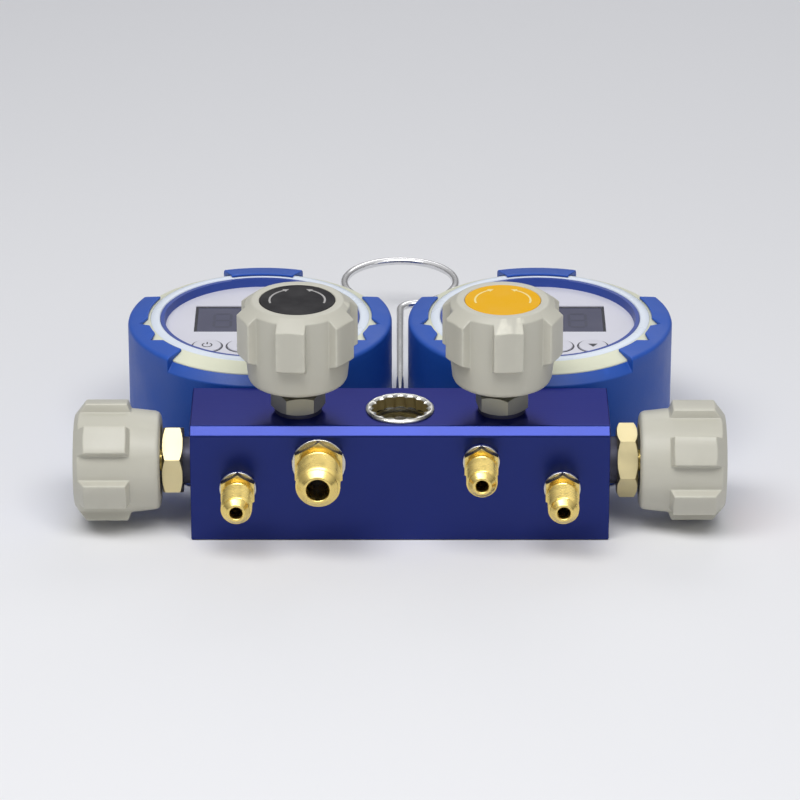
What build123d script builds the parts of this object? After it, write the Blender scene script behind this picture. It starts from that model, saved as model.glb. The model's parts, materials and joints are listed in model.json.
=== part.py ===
from build123d import *
import os
from math import atan2, cos, degrees, radians, sin, sqrt, tan

# Four-valve digital refrigerant manifold, lying on its back.
# +X runs right along the block, +Y towards the hanging hook, +Z out of the gauge faces.
# The origin is the middle of the block's back, on the surface that the manifold lies on.

# Running, sliding and assembly clearances
fit_gap = 0.05
running_gap = 0.05
loose_gap = 0.3
float_gap = 0.2
seal_gap = 0.12
cut_margin = 1.0

# Manifold block
block_length = 150.0
block_height = 44.0
block_front = 16.5
block_back = 19.0
block_bevel = 3.0
block_edge = 0.6
gallery_radius = 3.5
valve_axis_drop = 20.0
back_axis_height = 22.0

# Valves, measured along each valve's own axis from the block's face
front_valve_x = 36.5
side_seat_depth = 27.0
front_seat_depth = 17.0
piston_radius = 5.5
bonnet_thread_radius = 7.0
bonnet_thread_length = 6.0
bonnet_neck_radius = 8.5
side_neck_height = 3.0
side_hex_flats = 23.2
side_hex_height = 7.2
side_knob_start = 11.0
front_neck_height = 1.5
front_hex_flats = 17.0
front_hex_height = 6.4
front_knob_start = 12.0
bonnet_hex_chamfer = 1.2
bonnet_collar_radius = 7.5
bonnet_roof = 0.5
bonnet_seal_radius = 0.48
bonnet_seal_pocket = 1.2
bonnet_seal_depth = 1.0
stem_radius = 4.0
stem_seal_radius = 0.5
stem_seal_height = 2.0
stem_neck_radius = 2.2
stem_foot_radius = 3.0
stem_foot_height = 1.5
stem_square = 5.0
valve_travel = 3.0
piston_lift_margin = 0.5
piston_head_height = 5.6
piston_lip = 2.7
piston_nose_radius = 4.6
piston_nose_taper = 1.4
seat_gap = 0.1

# Valve knobs
knob_gap = 0.4
knob_height = 31.0
knob_base_radius = 17.8
knob_radius = 18.75
knob_lobe_radius = 21.9
knob_lobes = 6
lobe_face_reach = 21.5
lobe_width = 10.6
lobe_start = 10.7
lobe_ledge_rise = 1.3
lobe_shoulder = 26.8
knob_rim_radius = 16.4
knob_bottom_round = 2.0
knob_hub_radius = 6.5
knob_hollow_radius = 12.8
knob_hollow_depth = 21.0
knob_hub_inset = 0.5
knob_rib = 1.6
disc_radius = 13.5
disc_thickness = 1.0
disc_sink = 0.1

# Hose ports on the front face
side_port_x = 58.0
side_port_drop = 23.3
front_port_x = 29.0
vacuum_port_drop = 13.5
charging_port_drop = 12.8
washer_thickness = 1.0
port_spigot_length = 7.0
quarter_thread_radius = 5.556
quarter_bore = 2.2
quarter_spigot_radius = 5.0
quarter_hex_flats = 12.0
quarter_washer_radius = 6.6
quarter_reach = 21.0
three_eighths_thread_radius = 7.938
three_eighths_bore = 4.0
three_eighths_spigot_radius = 7.0
three_eighths_hex_flats = 17.0
three_eighths_washer_radius = 9.6
three_eighths_reach = 22.7
port_hex_length = 3.6
port_hex_chamfer_rise = 1 / 3
port_neck_length = 1.6
port_neck_depth = 0.8
flare_length = 2.4
flare_mouth_wall = 1.0
port_bore_step = 0.8

# Sight glass in the middle of the block's top
sight_ring_radius = 12.35
sight_ring_rise = 1.2
sight_thread_radius = 11.0
sight_thread_depth = 3.5
sight_opening_radius = 9.2
sight_scallop_radius = 1.1
sight_scallops = 14
sight_lens_thickness = 2.5
sight_chamber_radius = 8.0
sight_chamber_sump = 10.0
sight_seal_radius = 0.42

# Hanging hook
wire_radius = 1.5
hook_ring_radius = 21.8
hook_bend_radius = 6.0
hook_ring_y = 167.0
hook_mouth_angle = 52.0
hook_head_radius = 2.6
hook_head_length = 1.2
bush_radius = 4.0
bush_depth = 8.0
bush_flange_radius = 5.4
bush_flange_length = 2.0
bush_head_pocket = 1.6

# Gauges
boot_radius = 49.0
boot_wall = 3.0
boot_half_gap = 3.0
boot_block_gap = 1.5
boot_floor = 3.0
boot_floor_width = 11.5
boot_shoulder = 49.4
boot_top = 51.6
boot_lip_cover = 0.2
side_lip_cover = 4.5
notch_depth = 3.5
notch_half_angle = 45.0
boot_cut_height = 43.0
boot_edge_round = 1.2
front_rim_inner_height = 47.2
front_rim_outer_height = 43.7
housing_wall = 2.2
housing_floor = 2.2
housing_rim_width = 5.4
housing_ledge_width = 1.0
housing_shoulder = 30.8
housing_rim_drop = 0.5
housing_rim_slope = 2.3
housing_edge = 1.2
bezel_top = 50.5
bezel_width = 3.6
bezel_edge = 0.4
bezel_slope_width = 1.4
liner_width = 2.0
liner_drop = 0.5
face_recess = 3.5
face_thickness = 1.6
lcd_side_margin = 10.6
lcd_top_margin = 18.1
lcd_button_gap = 7.95
lcd_frame_margin = 2.4
lcd_glass_sink = 0.5
board_height = 32.0
board_thickness = 1.6
board_gap = 0.6
post_radius = 2.0
post_inset = 3.5
post_angle = 45.0
posts = 4
screw_radius = 1.0
screw_tip = 40.0
screw_head_radius = 1.6
screw_head_height = 1.4

# Push buttons in the face; a share is a share of the liner's inner radius
button_radius_share = 0.15
button_gap = 2.15
button_count = 4
button_offset_share = 0.58
button_rise = 0.5
button_flange = 0.7
button_flange_height = 1.0
button_edge = 0.3
button_travel = 0.5
switch_size = 6.0

# Battery bay at the back of each gauge
bay_width = 62.0
bay_depth = 38.0
bay_wall = 1.2
bay_wall_height = 14.0
bay_corner = 4.0
cell_radius = 7.25
cell_length = 50.5
cell_pitch = 16.0
cell_button_radius = 2.75
cell_button_length = 1.3
cover_grooves = 5
cover_groove_pitch = 3.0
cover_groove_length = 16.0
cover_groove_width = 1.2
cover_groove_depth = 0.6

# Pressure sensors between the block and the gauges
sensor_spigot_radius = 5.0
sensor_spigot_depth = 9.5
sensor_bore = 1.5
sensor_flange_radius = 6.5
sensor_neck_radius = 4.8
sensor_can_radius = 8.5
sensor_can_length = 11.0
sensor_can_edge = 1.0

# Sizes that follow from the ones above
end_x = block_length / 2
valve_axis_height = block_height - valve_axis_drop
sight_chamber_floor = valve_axis_height - sight_chamber_sump
piston_head_top = bonnet_roof + valve_travel + piston_lift_margin
gauge_x = boot_radius + boot_half_gap
gauge_y = block_back + boot_block_gap + boot_radius
housing_radius = boot_radius - boot_wall
bezel_outer_radius = housing_radius - housing_rim_width
bezel_inner_radius = bezel_outer_radius - bezel_width
liner_inner_radius = bezel_inner_radius - liner_width
housing_ledge_radius = bezel_outer_radius - housing_ledge_width
post_circle_radius = bezel_outer_radius - post_inset
boot_opening_radius = boot_radius - boot_floor_width
boot_lip_reach = bezel_inner_radius + boot_lip_cover
side_lip_reach = housing_radius - side_lip_cover
button_radius = button_radius_share * liner_inner_radius
button_spacing = 2 * button_radius + button_gap
button_offset = button_offset_share * liner_inner_radius
lcd_width = 2 * (liner_inner_radius - lcd_side_margin)
lcd_top_edge = liner_inner_radius - lcd_top_margin
lcd_bottom_edge = button_radius + lcd_button_gap - button_offset
lcd_height = lcd_top_edge - lcd_bottom_edge
lcd_offset = (lcd_top_edge + lcd_bottom_edge) / 2
face_top = bezel_top - face_recess
face_bottom = face_top - face_thickness
housing_bore = housing_radius - housing_wall
housing_rim_bore = bezel_outer_radius + fit_gap
housing_top = bezel_top - housing_rim_drop
floor_bottom = boot_floor + fit_gap
floor_top = floor_bottom + housing_floor
board_radius = housing_ledge_radius - board_gap
boot_bore = housing_radius + fit_gap
board_top = board_height + board_thickness
lens_top = block_height - sight_thread_depth - fit_gap
lens_bottom = lens_top - sight_lens_thickness
sight_ledge = lens_bottom - 2 * sight_seal_radius
disc_top = knob_height - disc_sink
disc_bottom = disc_top - disc_thickness
hook_start = block_back - bush_depth + fit_gap

valves = {
    "low": Plane(origin=(-end_x, 0, valve_axis_height), x_dir=(0, -1, 0), z_dir=(-1, 0, 0)),
    "high": Plane(origin=(end_x, 0, valve_axis_height), x_dir=(0, -1, 0), z_dir=(1, 0, 0)),
    "vacuum": Plane(origin=(-front_valve_x, 0, block_height), x_dir=(0, -1, 0), z_dir=(0, 0, 1)),
    "charging": Plane(origin=(front_valve_x, 0, block_height), x_dir=(0, -1, 0), z_dir=(0, 0, 1)),
}
side_valve = {
    "seat": side_seat_depth,
    "neck": side_neck_height,
    "flats": side_hex_flats,
    "hex": side_hex_height,
    "knob": side_knob_start,
}
front_valve = {
    "seat": front_seat_depth,
    "neck": front_neck_height,
    "flats": front_hex_flats,
    "hex": front_hex_height,
    "knob": front_knob_start,
}
valve_sizes = {"low": side_valve, "high": side_valve, "vacuum": front_valve, "charging": front_valve}
knob_turns = {"low": -14.7, "high": -33.8, "vacuum": -6, "charging": 5}
bonnet_turns = {"low": -5.4, "high": -24.6, "vacuum": 6, "charging": -18.5}
gauges = {"left": -gauge_x, "right": gauge_x}

os.makedirs("parts", exist_ok=True)


def save(piece, label):
    piece.part.label = label
    export_step(piece.part, f"parts/{label}.step")


def section_of(base):
    # Plane through the base's axis: its local y runs along that axis
    return Plane(origin=base.origin, x_dir=base.x_dir, z_dir=-base.y_dir)


def axis_of(base):
    return Axis(base.origin, base.z_dir)


def turned(base, *outline, mode=Mode.ADD, arc=360):
    # Adds or cuts a solid of revolution from an outline of (radius, height) points
    with BuildSketch(section_of(base)) as profile:
        with BuildLine():
            Polyline(*outline, close=True)
        make_face()
    revolve(profile.sketch, axis=axis_of(base), revolution_arc=arc, mode=mode)


def ring_seal(base, radius, wire, height):
    with BuildSketch(section_of(base)) as profile:
        with Locations((radius, height)):
            Circle(wire)
    revolve(profile.sketch, axis=axis_of(base))


def sector(base, inner, outer, start, end):
    # A sketch of the part of a flat ring between two angles
    with BuildSketch(base) as area:
        with BuildLine():
            far = CenterArc((0, 0), outer, start, end - start)
            near = CenterArc((0, 0), inner, start, end - start)
            Line(far @ 0, near @ 0)
            Line(far @ 1, near @ 1)
        make_face()
    return area.sketch


# Manifold block with its gallery, valve bores, port bores and sight-glass chamber
port_places = {
    "low": (-side_port_x, block_height - side_port_drop),
    "high": (side_port_x, block_height - side_port_drop),
    "vacuum": (-front_port_x, block_height - vacuum_port_drop),
    "charging": (front_port_x, block_height - charging_port_drop),
}
passage_ends = {"low": -side_port_x, "high": side_port_x, "vacuum": -front_valve_x, "charging": front_valve_x}


def port_plane(name):
    x, z = port_places[name]
    return Plane(origin=(x, -block_front, z), x_dir=(1, 0, 0), z_dir=(0, -1, 0))


def port_sizes(name):
    if name == "vacuum":
        return {
            "thread": three_eighths_thread_radius,
            "bore": three_eighths_bore,
            "spigot": three_eighths_spigot_radius,
            "flats": three_eighths_hex_flats,
            "washer": three_eighths_washer_radius,
            "reach": three_eighths_reach,
        }
    return {
        "thread": quarter_thread_radius,
        "bore": quarter_bore,
        "spigot": quarter_spigot_radius,
        "flats": quarter_hex_flats,
        "washer": quarter_washer_radius,
        "reach": quarter_reach,
    }


def gauge_plane(side, height=0.0, angle=0.0):
    across = (cos(radians(angle)), sin(radians(angle)), 0)
    return Plane(origin=(gauges[side], gauge_y, height), x_dir=across, z_dir=(0, 0, 1))


def sensor_plane(side):
    return Plane(origin=(gauges[side], block_back, back_axis_height), x_dir=(1, 0, 0), z_dir=(0, 1, 0))


sight_plane = Plane(origin=(0, 0, block_height), x_dir=(1, 0, 0), z_dir=(0, 0, 1))
hook_plane = Plane(origin=(0, block_back, back_axis_height), x_dir=(1, 0, 0), z_dir=(0, 1, 0))

with BuildPart() as manifold_block:
    with BuildSketch(Plane.XY):
        with Locations((0, (block_back - block_front) / 2)):
            Rectangle(block_length, block_front + block_back)
    extrude(amount=block_height)
    front_top = manifold_block.edges().filter_by(Axis.X).group_by(Axis.Z)[-1].sort_by(Axis.Y)[0]
    chamfer(front_top, block_bevel)
    chamfer(manifold_block.edges().filter_by(Axis.X).group_by(Axis.Y)[-1], block_edge)
    for name, base in valves.items():
        seat = -valve_sizes[name]["seat"]
        seal_pocket = bonnet_thread_radius + bonnet_seal_pocket
        turned(
            base,
            (0, 0),
            (seal_pocket, 0),
            (seal_pocket, -bonnet_seal_depth),
            (bonnet_thread_radius + fit_gap, -bonnet_seal_depth),
            (bonnet_thread_radius + fit_gap, -bonnet_thread_length - fit_gap),
            (piston_radius, -bonnet_thread_length - fit_gap),
            (piston_radius, seat),
            (0, seat),
            mode=Mode.SUBTRACT,
        )
    for name in ("vacuum", "charging"):
        with BuildSketch(valves[name].offset(-front_seat_depth)):
            Circle(gallery_radius)
        extrude(amount=-(block_height - front_seat_depth - valve_axis_height), mode=Mode.SUBTRACT)
    with BuildSketch(Plane.YZ.offset(-(end_x - side_seat_depth))):
        with Locations((0, valve_axis_height)):
            Circle(gallery_radius)
    extrude(amount=block_length - 2 * side_seat_depth, mode=Mode.SUBTRACT)
    for name in port_places:
        sizes = port_sizes(name)
        base = port_plane(name)
        with BuildSketch(base):
            Circle(sizes["spigot"] + fit_gap)
        extrude(amount=-port_spigot_length - fit_gap, mode=Mode.SUBTRACT)
        # Each passage runs from its spigot hole to its valve's axis, slanting under the front valves
        passage_radius = sizes["bore"] - port_bore_step
        passage_start = base.origin - base.z_dir * port_spigot_length
        passage_run = Vector(passage_ends[name], 0, base.origin.Z) - passage_start
        passage = Plane(origin=passage_start, z_dir=passage_run).offset(-passage_radius)
        with BuildSketch(passage):
            Circle(passage_radius)
        extrude(amount=passage_radius + passage_run.length, mode=Mode.SUBTRACT)
    turned(
        sight_plane,
        (0, 0),
        (sight_thread_radius + fit_gap, 0),
        (sight_thread_radius + fit_gap, sight_ledge - block_height),
        (sight_chamber_radius, sight_ledge - block_height),
        (sight_chamber_radius, sight_chamber_floor - block_height),
        (0, sight_chamber_floor - block_height),
        mode=Mode.SUBTRACT,
    )
    with BuildSketch(hook_plane):
        Circle(bush_radius + fit_gap)
    extrude(amount=-bush_depth, mode=Mode.SUBTRACT)
    for side in gauges:
        with BuildSketch(sensor_plane(side)):
            Circle(sensor_spigot_radius + fit_gap)
        extrude(amount=-sensor_spigot_depth, mode=Mode.SUBTRACT)
        with BuildSketch(sensor_plane(side)):
            Circle(sensor_bore)
        extrude(amount=-block_back, mode=Mode.SUBTRACT)
save(manifold_block, "manifold_block")

# Sight glass: a raised ring with a scalloped opening over a thick lens
with BuildPart() as sight_glass_ring:
    turned(
        sight_plane,
        (0, -sight_thread_depth),
        (sight_thread_radius, -sight_thread_depth),
        (sight_thread_radius, fit_gap),
        (sight_ring_radius, fit_gap),
        (sight_ring_radius, sight_ring_rise / 2),
        (sight_ring_radius - sight_ring_rise / 2, sight_ring_rise),
        (0, sight_ring_rise),
    )
    with BuildSketch(sight_plane.offset(sight_ring_rise)):
        Circle(sight_opening_radius)
        with PolarLocations(sight_opening_radius, sight_scallops):
            Circle(sight_scallop_radius)
    extrude(amount=-(sight_ring_rise + sight_thread_depth), mode=Mode.SUBTRACT)
save(sight_glass_ring, "sight_glass_ring")

with BuildPart() as sight_glass_lens:
    with BuildSketch(Plane.XY.offset(lens_bottom)):
        Circle(sight_thread_radius - fit_gap)
    extrude(amount=sight_lens_thickness)
save(sight_glass_lens, "sight_glass_lens")

# Flare ports: hex, thread relief, thread and a 45 degree flare around the bore
for name in port_places:
    sizes = port_sizes(name)
    base = port_plane(name)
    hex_end = washer_thickness + port_hex_length
    thread_start = hex_end + port_neck_length
    thread_end = sizes["reach"] - flare_length
    with BuildPart() as port:
        with BuildSketch(base.offset(washer_thickness)):
            RegularPolygon(sizes["flats"] / 2, 6, major_radius=False)
        extrude(amount=port_hex_length)
        inscribed = sizes["flats"] / 2
        turned(
            base,
            (0, 0),
            (inscribed, 0),
            (2 * inscribed, hex_end - inscribed * port_hex_chamfer_rise),
            (inscribed, hex_end),
            (0, hex_end),
            mode=Mode.INTERSECT,
        )
        turned(
            base,
            (0, -port_spigot_length),
            (sizes["spigot"], -port_spigot_length),
            (sizes["spigot"], washer_thickness),
            (0, washer_thickness),
        )
        turned(
            base,
            (0, hex_end),
            (sizes["thread"] - port_neck_depth, hex_end),
            (sizes["thread"] - port_neck_depth, thread_start),
            (sizes["thread"], thread_start),
            (sizes["thread"], thread_end),
            (sizes["bore"] + flare_mouth_wall, sizes["reach"]),
            (0, sizes["reach"]),
        )
        with BuildSketch(base.offset(-port_spigot_length)):
            Circle(sizes["bore"])
        extrude(amount=port_spigot_length + sizes["reach"], mode=Mode.SUBTRACT)
    save(port, f"{name}_port")

with BuildPart() as port_washers:
    for name in port_places:
        sizes = port_sizes(name)
        with BuildSketch(port_plane(name)):
            Circle(sizes["washer"])
            Circle(sizes["spigot"] + fit_gap, mode=Mode.SUBTRACT)
        extrude(amount=washer_thickness)
save(port_washers, "port_washers")

# Valves: bonnet, stem, piston, knob and end disc, each along its own axis
for name, base in valves.items():
    sizes = valve_sizes[name]
    seat = -sizes["seat"]
    hex_top = sizes["neck"] + sizes["hex"]
    knob_start = sizes["knob"]
    bonnet_top = knob_start - knob_gap
    stem_square_start = knob_start + knob_hub_inset
    hub_roof = knob_start + knob_hollow_depth
    stem_end = hub_roof - loose_gap
    head_bottom = -piston_head_top - piston_head_height
    pocket_roof = -piston_head_top - piston_lip
    foot_top = pocket_roof - float_gap
    foot_bottom = foot_top - stem_foot_height
    pocket_floor = foot_bottom - float_gap

    with BuildPart() as bonnet:
        with BuildSketch(base.offset(sizes["neck"])):
            RegularPolygon(sizes["flats"] / 2, 6, major_radius=False, rotation=bonnet_turns[name])
        extrude(amount=sizes["hex"])
        hex_corner = sizes["flats"] / sqrt(3)
        turned(
            base,
            (0, sizes["neck"]),
            (hex_corner - bonnet_hex_chamfer, sizes["neck"]),
            (hex_corner, sizes["neck"] + bonnet_hex_chamfer),
            (hex_corner, hex_top - bonnet_hex_chamfer),
            (hex_corner - bonnet_hex_chamfer, hex_top),
            (0, hex_top),
            mode=Mode.INTERSECT,
        )
        turned(
            base,
            (0, -bonnet_thread_length),
            (bonnet_thread_radius, -bonnet_thread_length),
            (bonnet_thread_radius, 0),
            (bonnet_neck_radius, 0),
            (bonnet_neck_radius, sizes["neck"]),
            (bonnet_collar_radius, sizes["neck"]),
            (bonnet_collar_radius, bonnet_top),
            (0, bonnet_top),
        )
        turned(
            base,
            (0, -bonnet_thread_length),
            (piston_radius, -bonnet_thread_length),
            (piston_radius, -bonnet_roof),
            (stem_radius + running_gap, -bonnet_roof),
            (stem_radius + running_gap, stem_seal_height - stem_seal_radius - fit_gap),
            (stem_radius + seal_gap + 2 * stem_seal_radius, stem_seal_height - stem_seal_radius - fit_gap),
            (stem_radius + seal_gap + 2 * stem_seal_radius, stem_seal_height + stem_seal_radius + fit_gap),
            (stem_radius + running_gap, stem_seal_height + stem_seal_radius + fit_gap),
            (stem_radius + running_gap, bonnet_top),
            (0, bonnet_top),
            mode=Mode.SUBTRACT,
        )
    save(bonnet, f"{name}_bonnet")

    with BuildPart() as piston:
        turned(
            base,
            (0, seat + seat_gap),
            (piston_nose_radius - piston_nose_taper, seat + seat_gap),
            (piston_nose_radius, seat + seat_gap + piston_nose_taper),
            (piston_nose_radius, head_bottom),
            (piston_radius - running_gap, head_bottom),
            (piston_radius - running_gap, -piston_head_top),
            (stem_neck_radius + float_gap, -piston_head_top),
            (stem_neck_radius + float_gap, pocket_roof),
            (stem_foot_radius + running_gap, pocket_roof),
            (stem_foot_radius + running_gap, pocket_floor),
            (0, pocket_floor),
        )
    save(piston, f"{name}_piston")

    with BuildPart() as stem:
        turned(
            base,
            (0, foot_bottom),
            (stem_foot_radius, foot_bottom),
            (stem_foot_radius, foot_top),
            (stem_neck_radius, foot_top),
            (stem_neck_radius, -piston_head_top + loose_gap),
            (stem_radius, -piston_head_top + loose_gap),
            (stem_radius, stem_square_start - fit_gap),
            (0, stem_square_start - fit_gap),
        )
        with BuildSketch(base.offset(stem_square_start - fit_gap)):
            Rectangle(stem_square, stem_square)
        extrude(amount=stem_end - stem_square_start + fit_gap)
    save(stem, f"{name}_stem")

    with BuildPart() as knob:
        knob_base = base.offset(knob_start)
        with BuildSketch(knob_base.offset(lobe_start)):
            Circle(knob_radius)
            with PolarLocations(0, knob_lobes, start_angle=knob_turns[name]):
                with Locations((lobe_face_reach / 2, 0)):
                    Rectangle(lobe_face_reach, lobe_width)
        extrude(amount=knob_height - lobe_start)
        with BuildSketch(knob_base):
            Circle(knob_radius)
        extrude(amount=lobe_start)
        round_start = knob_base_radius - knob_bottom_round
        with BuildSketch(section_of(knob_base)):
            with BuildLine():
                Line((0, 0), (round_start, 0))
                CenterArc((round_start, knob_bottom_round), knob_bottom_round, -90, 90)
                Polyline(
                    (knob_base_radius, knob_bottom_round),
                    (knob_radius, lobe_start),
                    (knob_lobe_radius, lobe_start + lobe_ledge_rise),
                    (knob_lobe_radius, lobe_shoulder),
                    (knob_rim_radius, knob_height),
                    (0, knob_height),
                    (0, 0),
                )
            make_face()
        revolve(axis=axis_of(knob_base), mode=Mode.INTERSECT)
        with BuildSketch(knob_base.offset(disc_bottom)):
            Circle(disc_radius + fit_gap)
        extrude(amount=disc_thickness + disc_sink, mode=Mode.SUBTRACT)
        with BuildSketch(knob_base):
            Circle(knob_hollow_radius)
            Circle(knob_hub_radius, mode=Mode.SUBTRACT)
            with PolarLocations(0, knob_lobes, start_angle=knob_turns[name]):
                with Locations((knob_radius / 2, 0)):
                    Rectangle(knob_radius, knob_rib, mode=Mode.SUBTRACT)
        extrude(amount=knob_hollow_depth, mode=Mode.SUBTRACT)
        with BuildSketch(knob_base):
            Circle(knob_hollow_radius)
        extrude(amount=knob_hub_inset, mode=Mode.SUBTRACT)
        with BuildSketch(knob_base):
            Rectangle(stem_square + 2 * fit_gap, stem_square + 2 * fit_gap)
        extrude(amount=knob_hollow_depth, mode=Mode.SUBTRACT)
    save(knob, f"{name}_knob")

    with BuildPart() as disc:
        with BuildSketch(base.offset(knob_start + disc_bottom)):
            Circle(disc_radius)
        extrude(amount=disc_thickness)
    save(disc, f"{name}_disc")

# Rubber rings: under each bonnet, round each stem and under the sight-glass lens
with BuildPart() as seal_rings:
    for base in valves.values():
        bonnet_seal_circle = bonnet_thread_radius + fit_gap + bonnet_seal_radius
        ring_seal(base, bonnet_seal_circle, bonnet_seal_radius, -bonnet_seal_depth + bonnet_seal_radius)
        ring_seal(base, stem_radius + seal_gap + stem_seal_radius, stem_seal_radius, stem_seal_height)
    lens_seal_circle = (sight_chamber_radius + sight_thread_radius) / 2
    ring_seal(sight_plane, lens_seal_circle, sight_seal_radius, sight_ledge + sight_seal_radius - block_height)
save(seal_rings, "seal_rings")

# Hook: a wire with an upset head in a threaded bush, bent round into an open ring
with BuildPart() as hook:
    with BuildSketch(hook_plane.offset(-bush_depth + fit_gap)):
        Circle(hook_head_radius)
    extrude(amount=hook_head_length)
    bend_drop = sqrt((hook_bend_radius + hook_ring_radius) ** 2 - hook_bend_radius**2)
    bend_y = hook_ring_y - bend_drop
    meeting_angle = degrees(atan2(bend_drop, -hook_bend_radius))
    ring_start = meeting_angle - 180
    ring_end = 270 - hook_mouth_angle
    with BuildLine(Plane.XY.offset(back_axis_height)) as wire_path:
        shank = Line((0, hook_start + hook_head_length / 2), (0, bend_y))
        CenterArc((hook_bend_radius, bend_y), hook_bend_radius, 180, meeting_angle - 180)
        CenterArc((0, hook_ring_y), hook_ring_radius, ring_start, ring_end - ring_start)
    with BuildSketch(Plane(origin=shank @ 0, z_dir=(0, 1, 0))):
        Circle(wire_radius)
    sweep(path=wire_path.line)
save(hook, "hook")

with BuildPart() as hook_bush:
    turned(
        hook_plane,
        (0, -bush_depth + fit_gap),
        (bush_radius, -bush_depth + fit_gap),
        (bush_radius, fit_gap),
        (bush_flange_radius, fit_gap),
        (bush_flange_radius, bush_flange_length),
        (0, bush_flange_length),
    )
    turned(
        hook_plane,
        (0, -bush_depth),
        (hook_head_radius + running_gap, -bush_depth),
        (hook_head_radius + running_gap, -bush_depth + bush_head_pocket),
        (wire_radius + running_gap, -bush_depth + bush_head_pocket),
        (wire_radius + running_gap, bush_flange_length),
        (0, bush_flange_length),
        mode=Mode.SUBTRACT,
    )
save(hook_bush, "hook_bush")

# Gauges: rubber boot, housing, bezel, liner, face, display, board, sensor and battery bay
top_claw = (72, 108)
open_sectors = [(25, top_claw[0]), (top_claw[1], 155)]
front_crescent = (228, 312)
claw_notches = [-28, -8, 188, 208]
notch_base = side_lip_reach - cut_margin
notch_tip = side_lip_reach + notch_depth
notch_half_width = (notch_tip - notch_base) * tan(radians(notch_half_angle))
lip_bottom = bezel_top + fit_gap
rim_clearance = bezel_top - housing_rim_drop + fit_gap
post_places = list(PolarLocations(post_circle_radius, posts, start_angle=post_angle))
button_names = ["power", "mode", "up", "down"]
button_places = [
    Location(((number - (button_count - 1) / 2) * button_spacing, -button_offset)) for number in range(button_count)
]
flange_top = face_bottom - float_gap
switch_top = flange_top - button_flange_height - button_travel - float_gap
sensor_can_start = gauge_y - block_back - sqrt(housing_bore**2 - sensor_can_radius**2) + fit_gap
cell_height = floor_top + fit_gap + cell_radius

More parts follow.
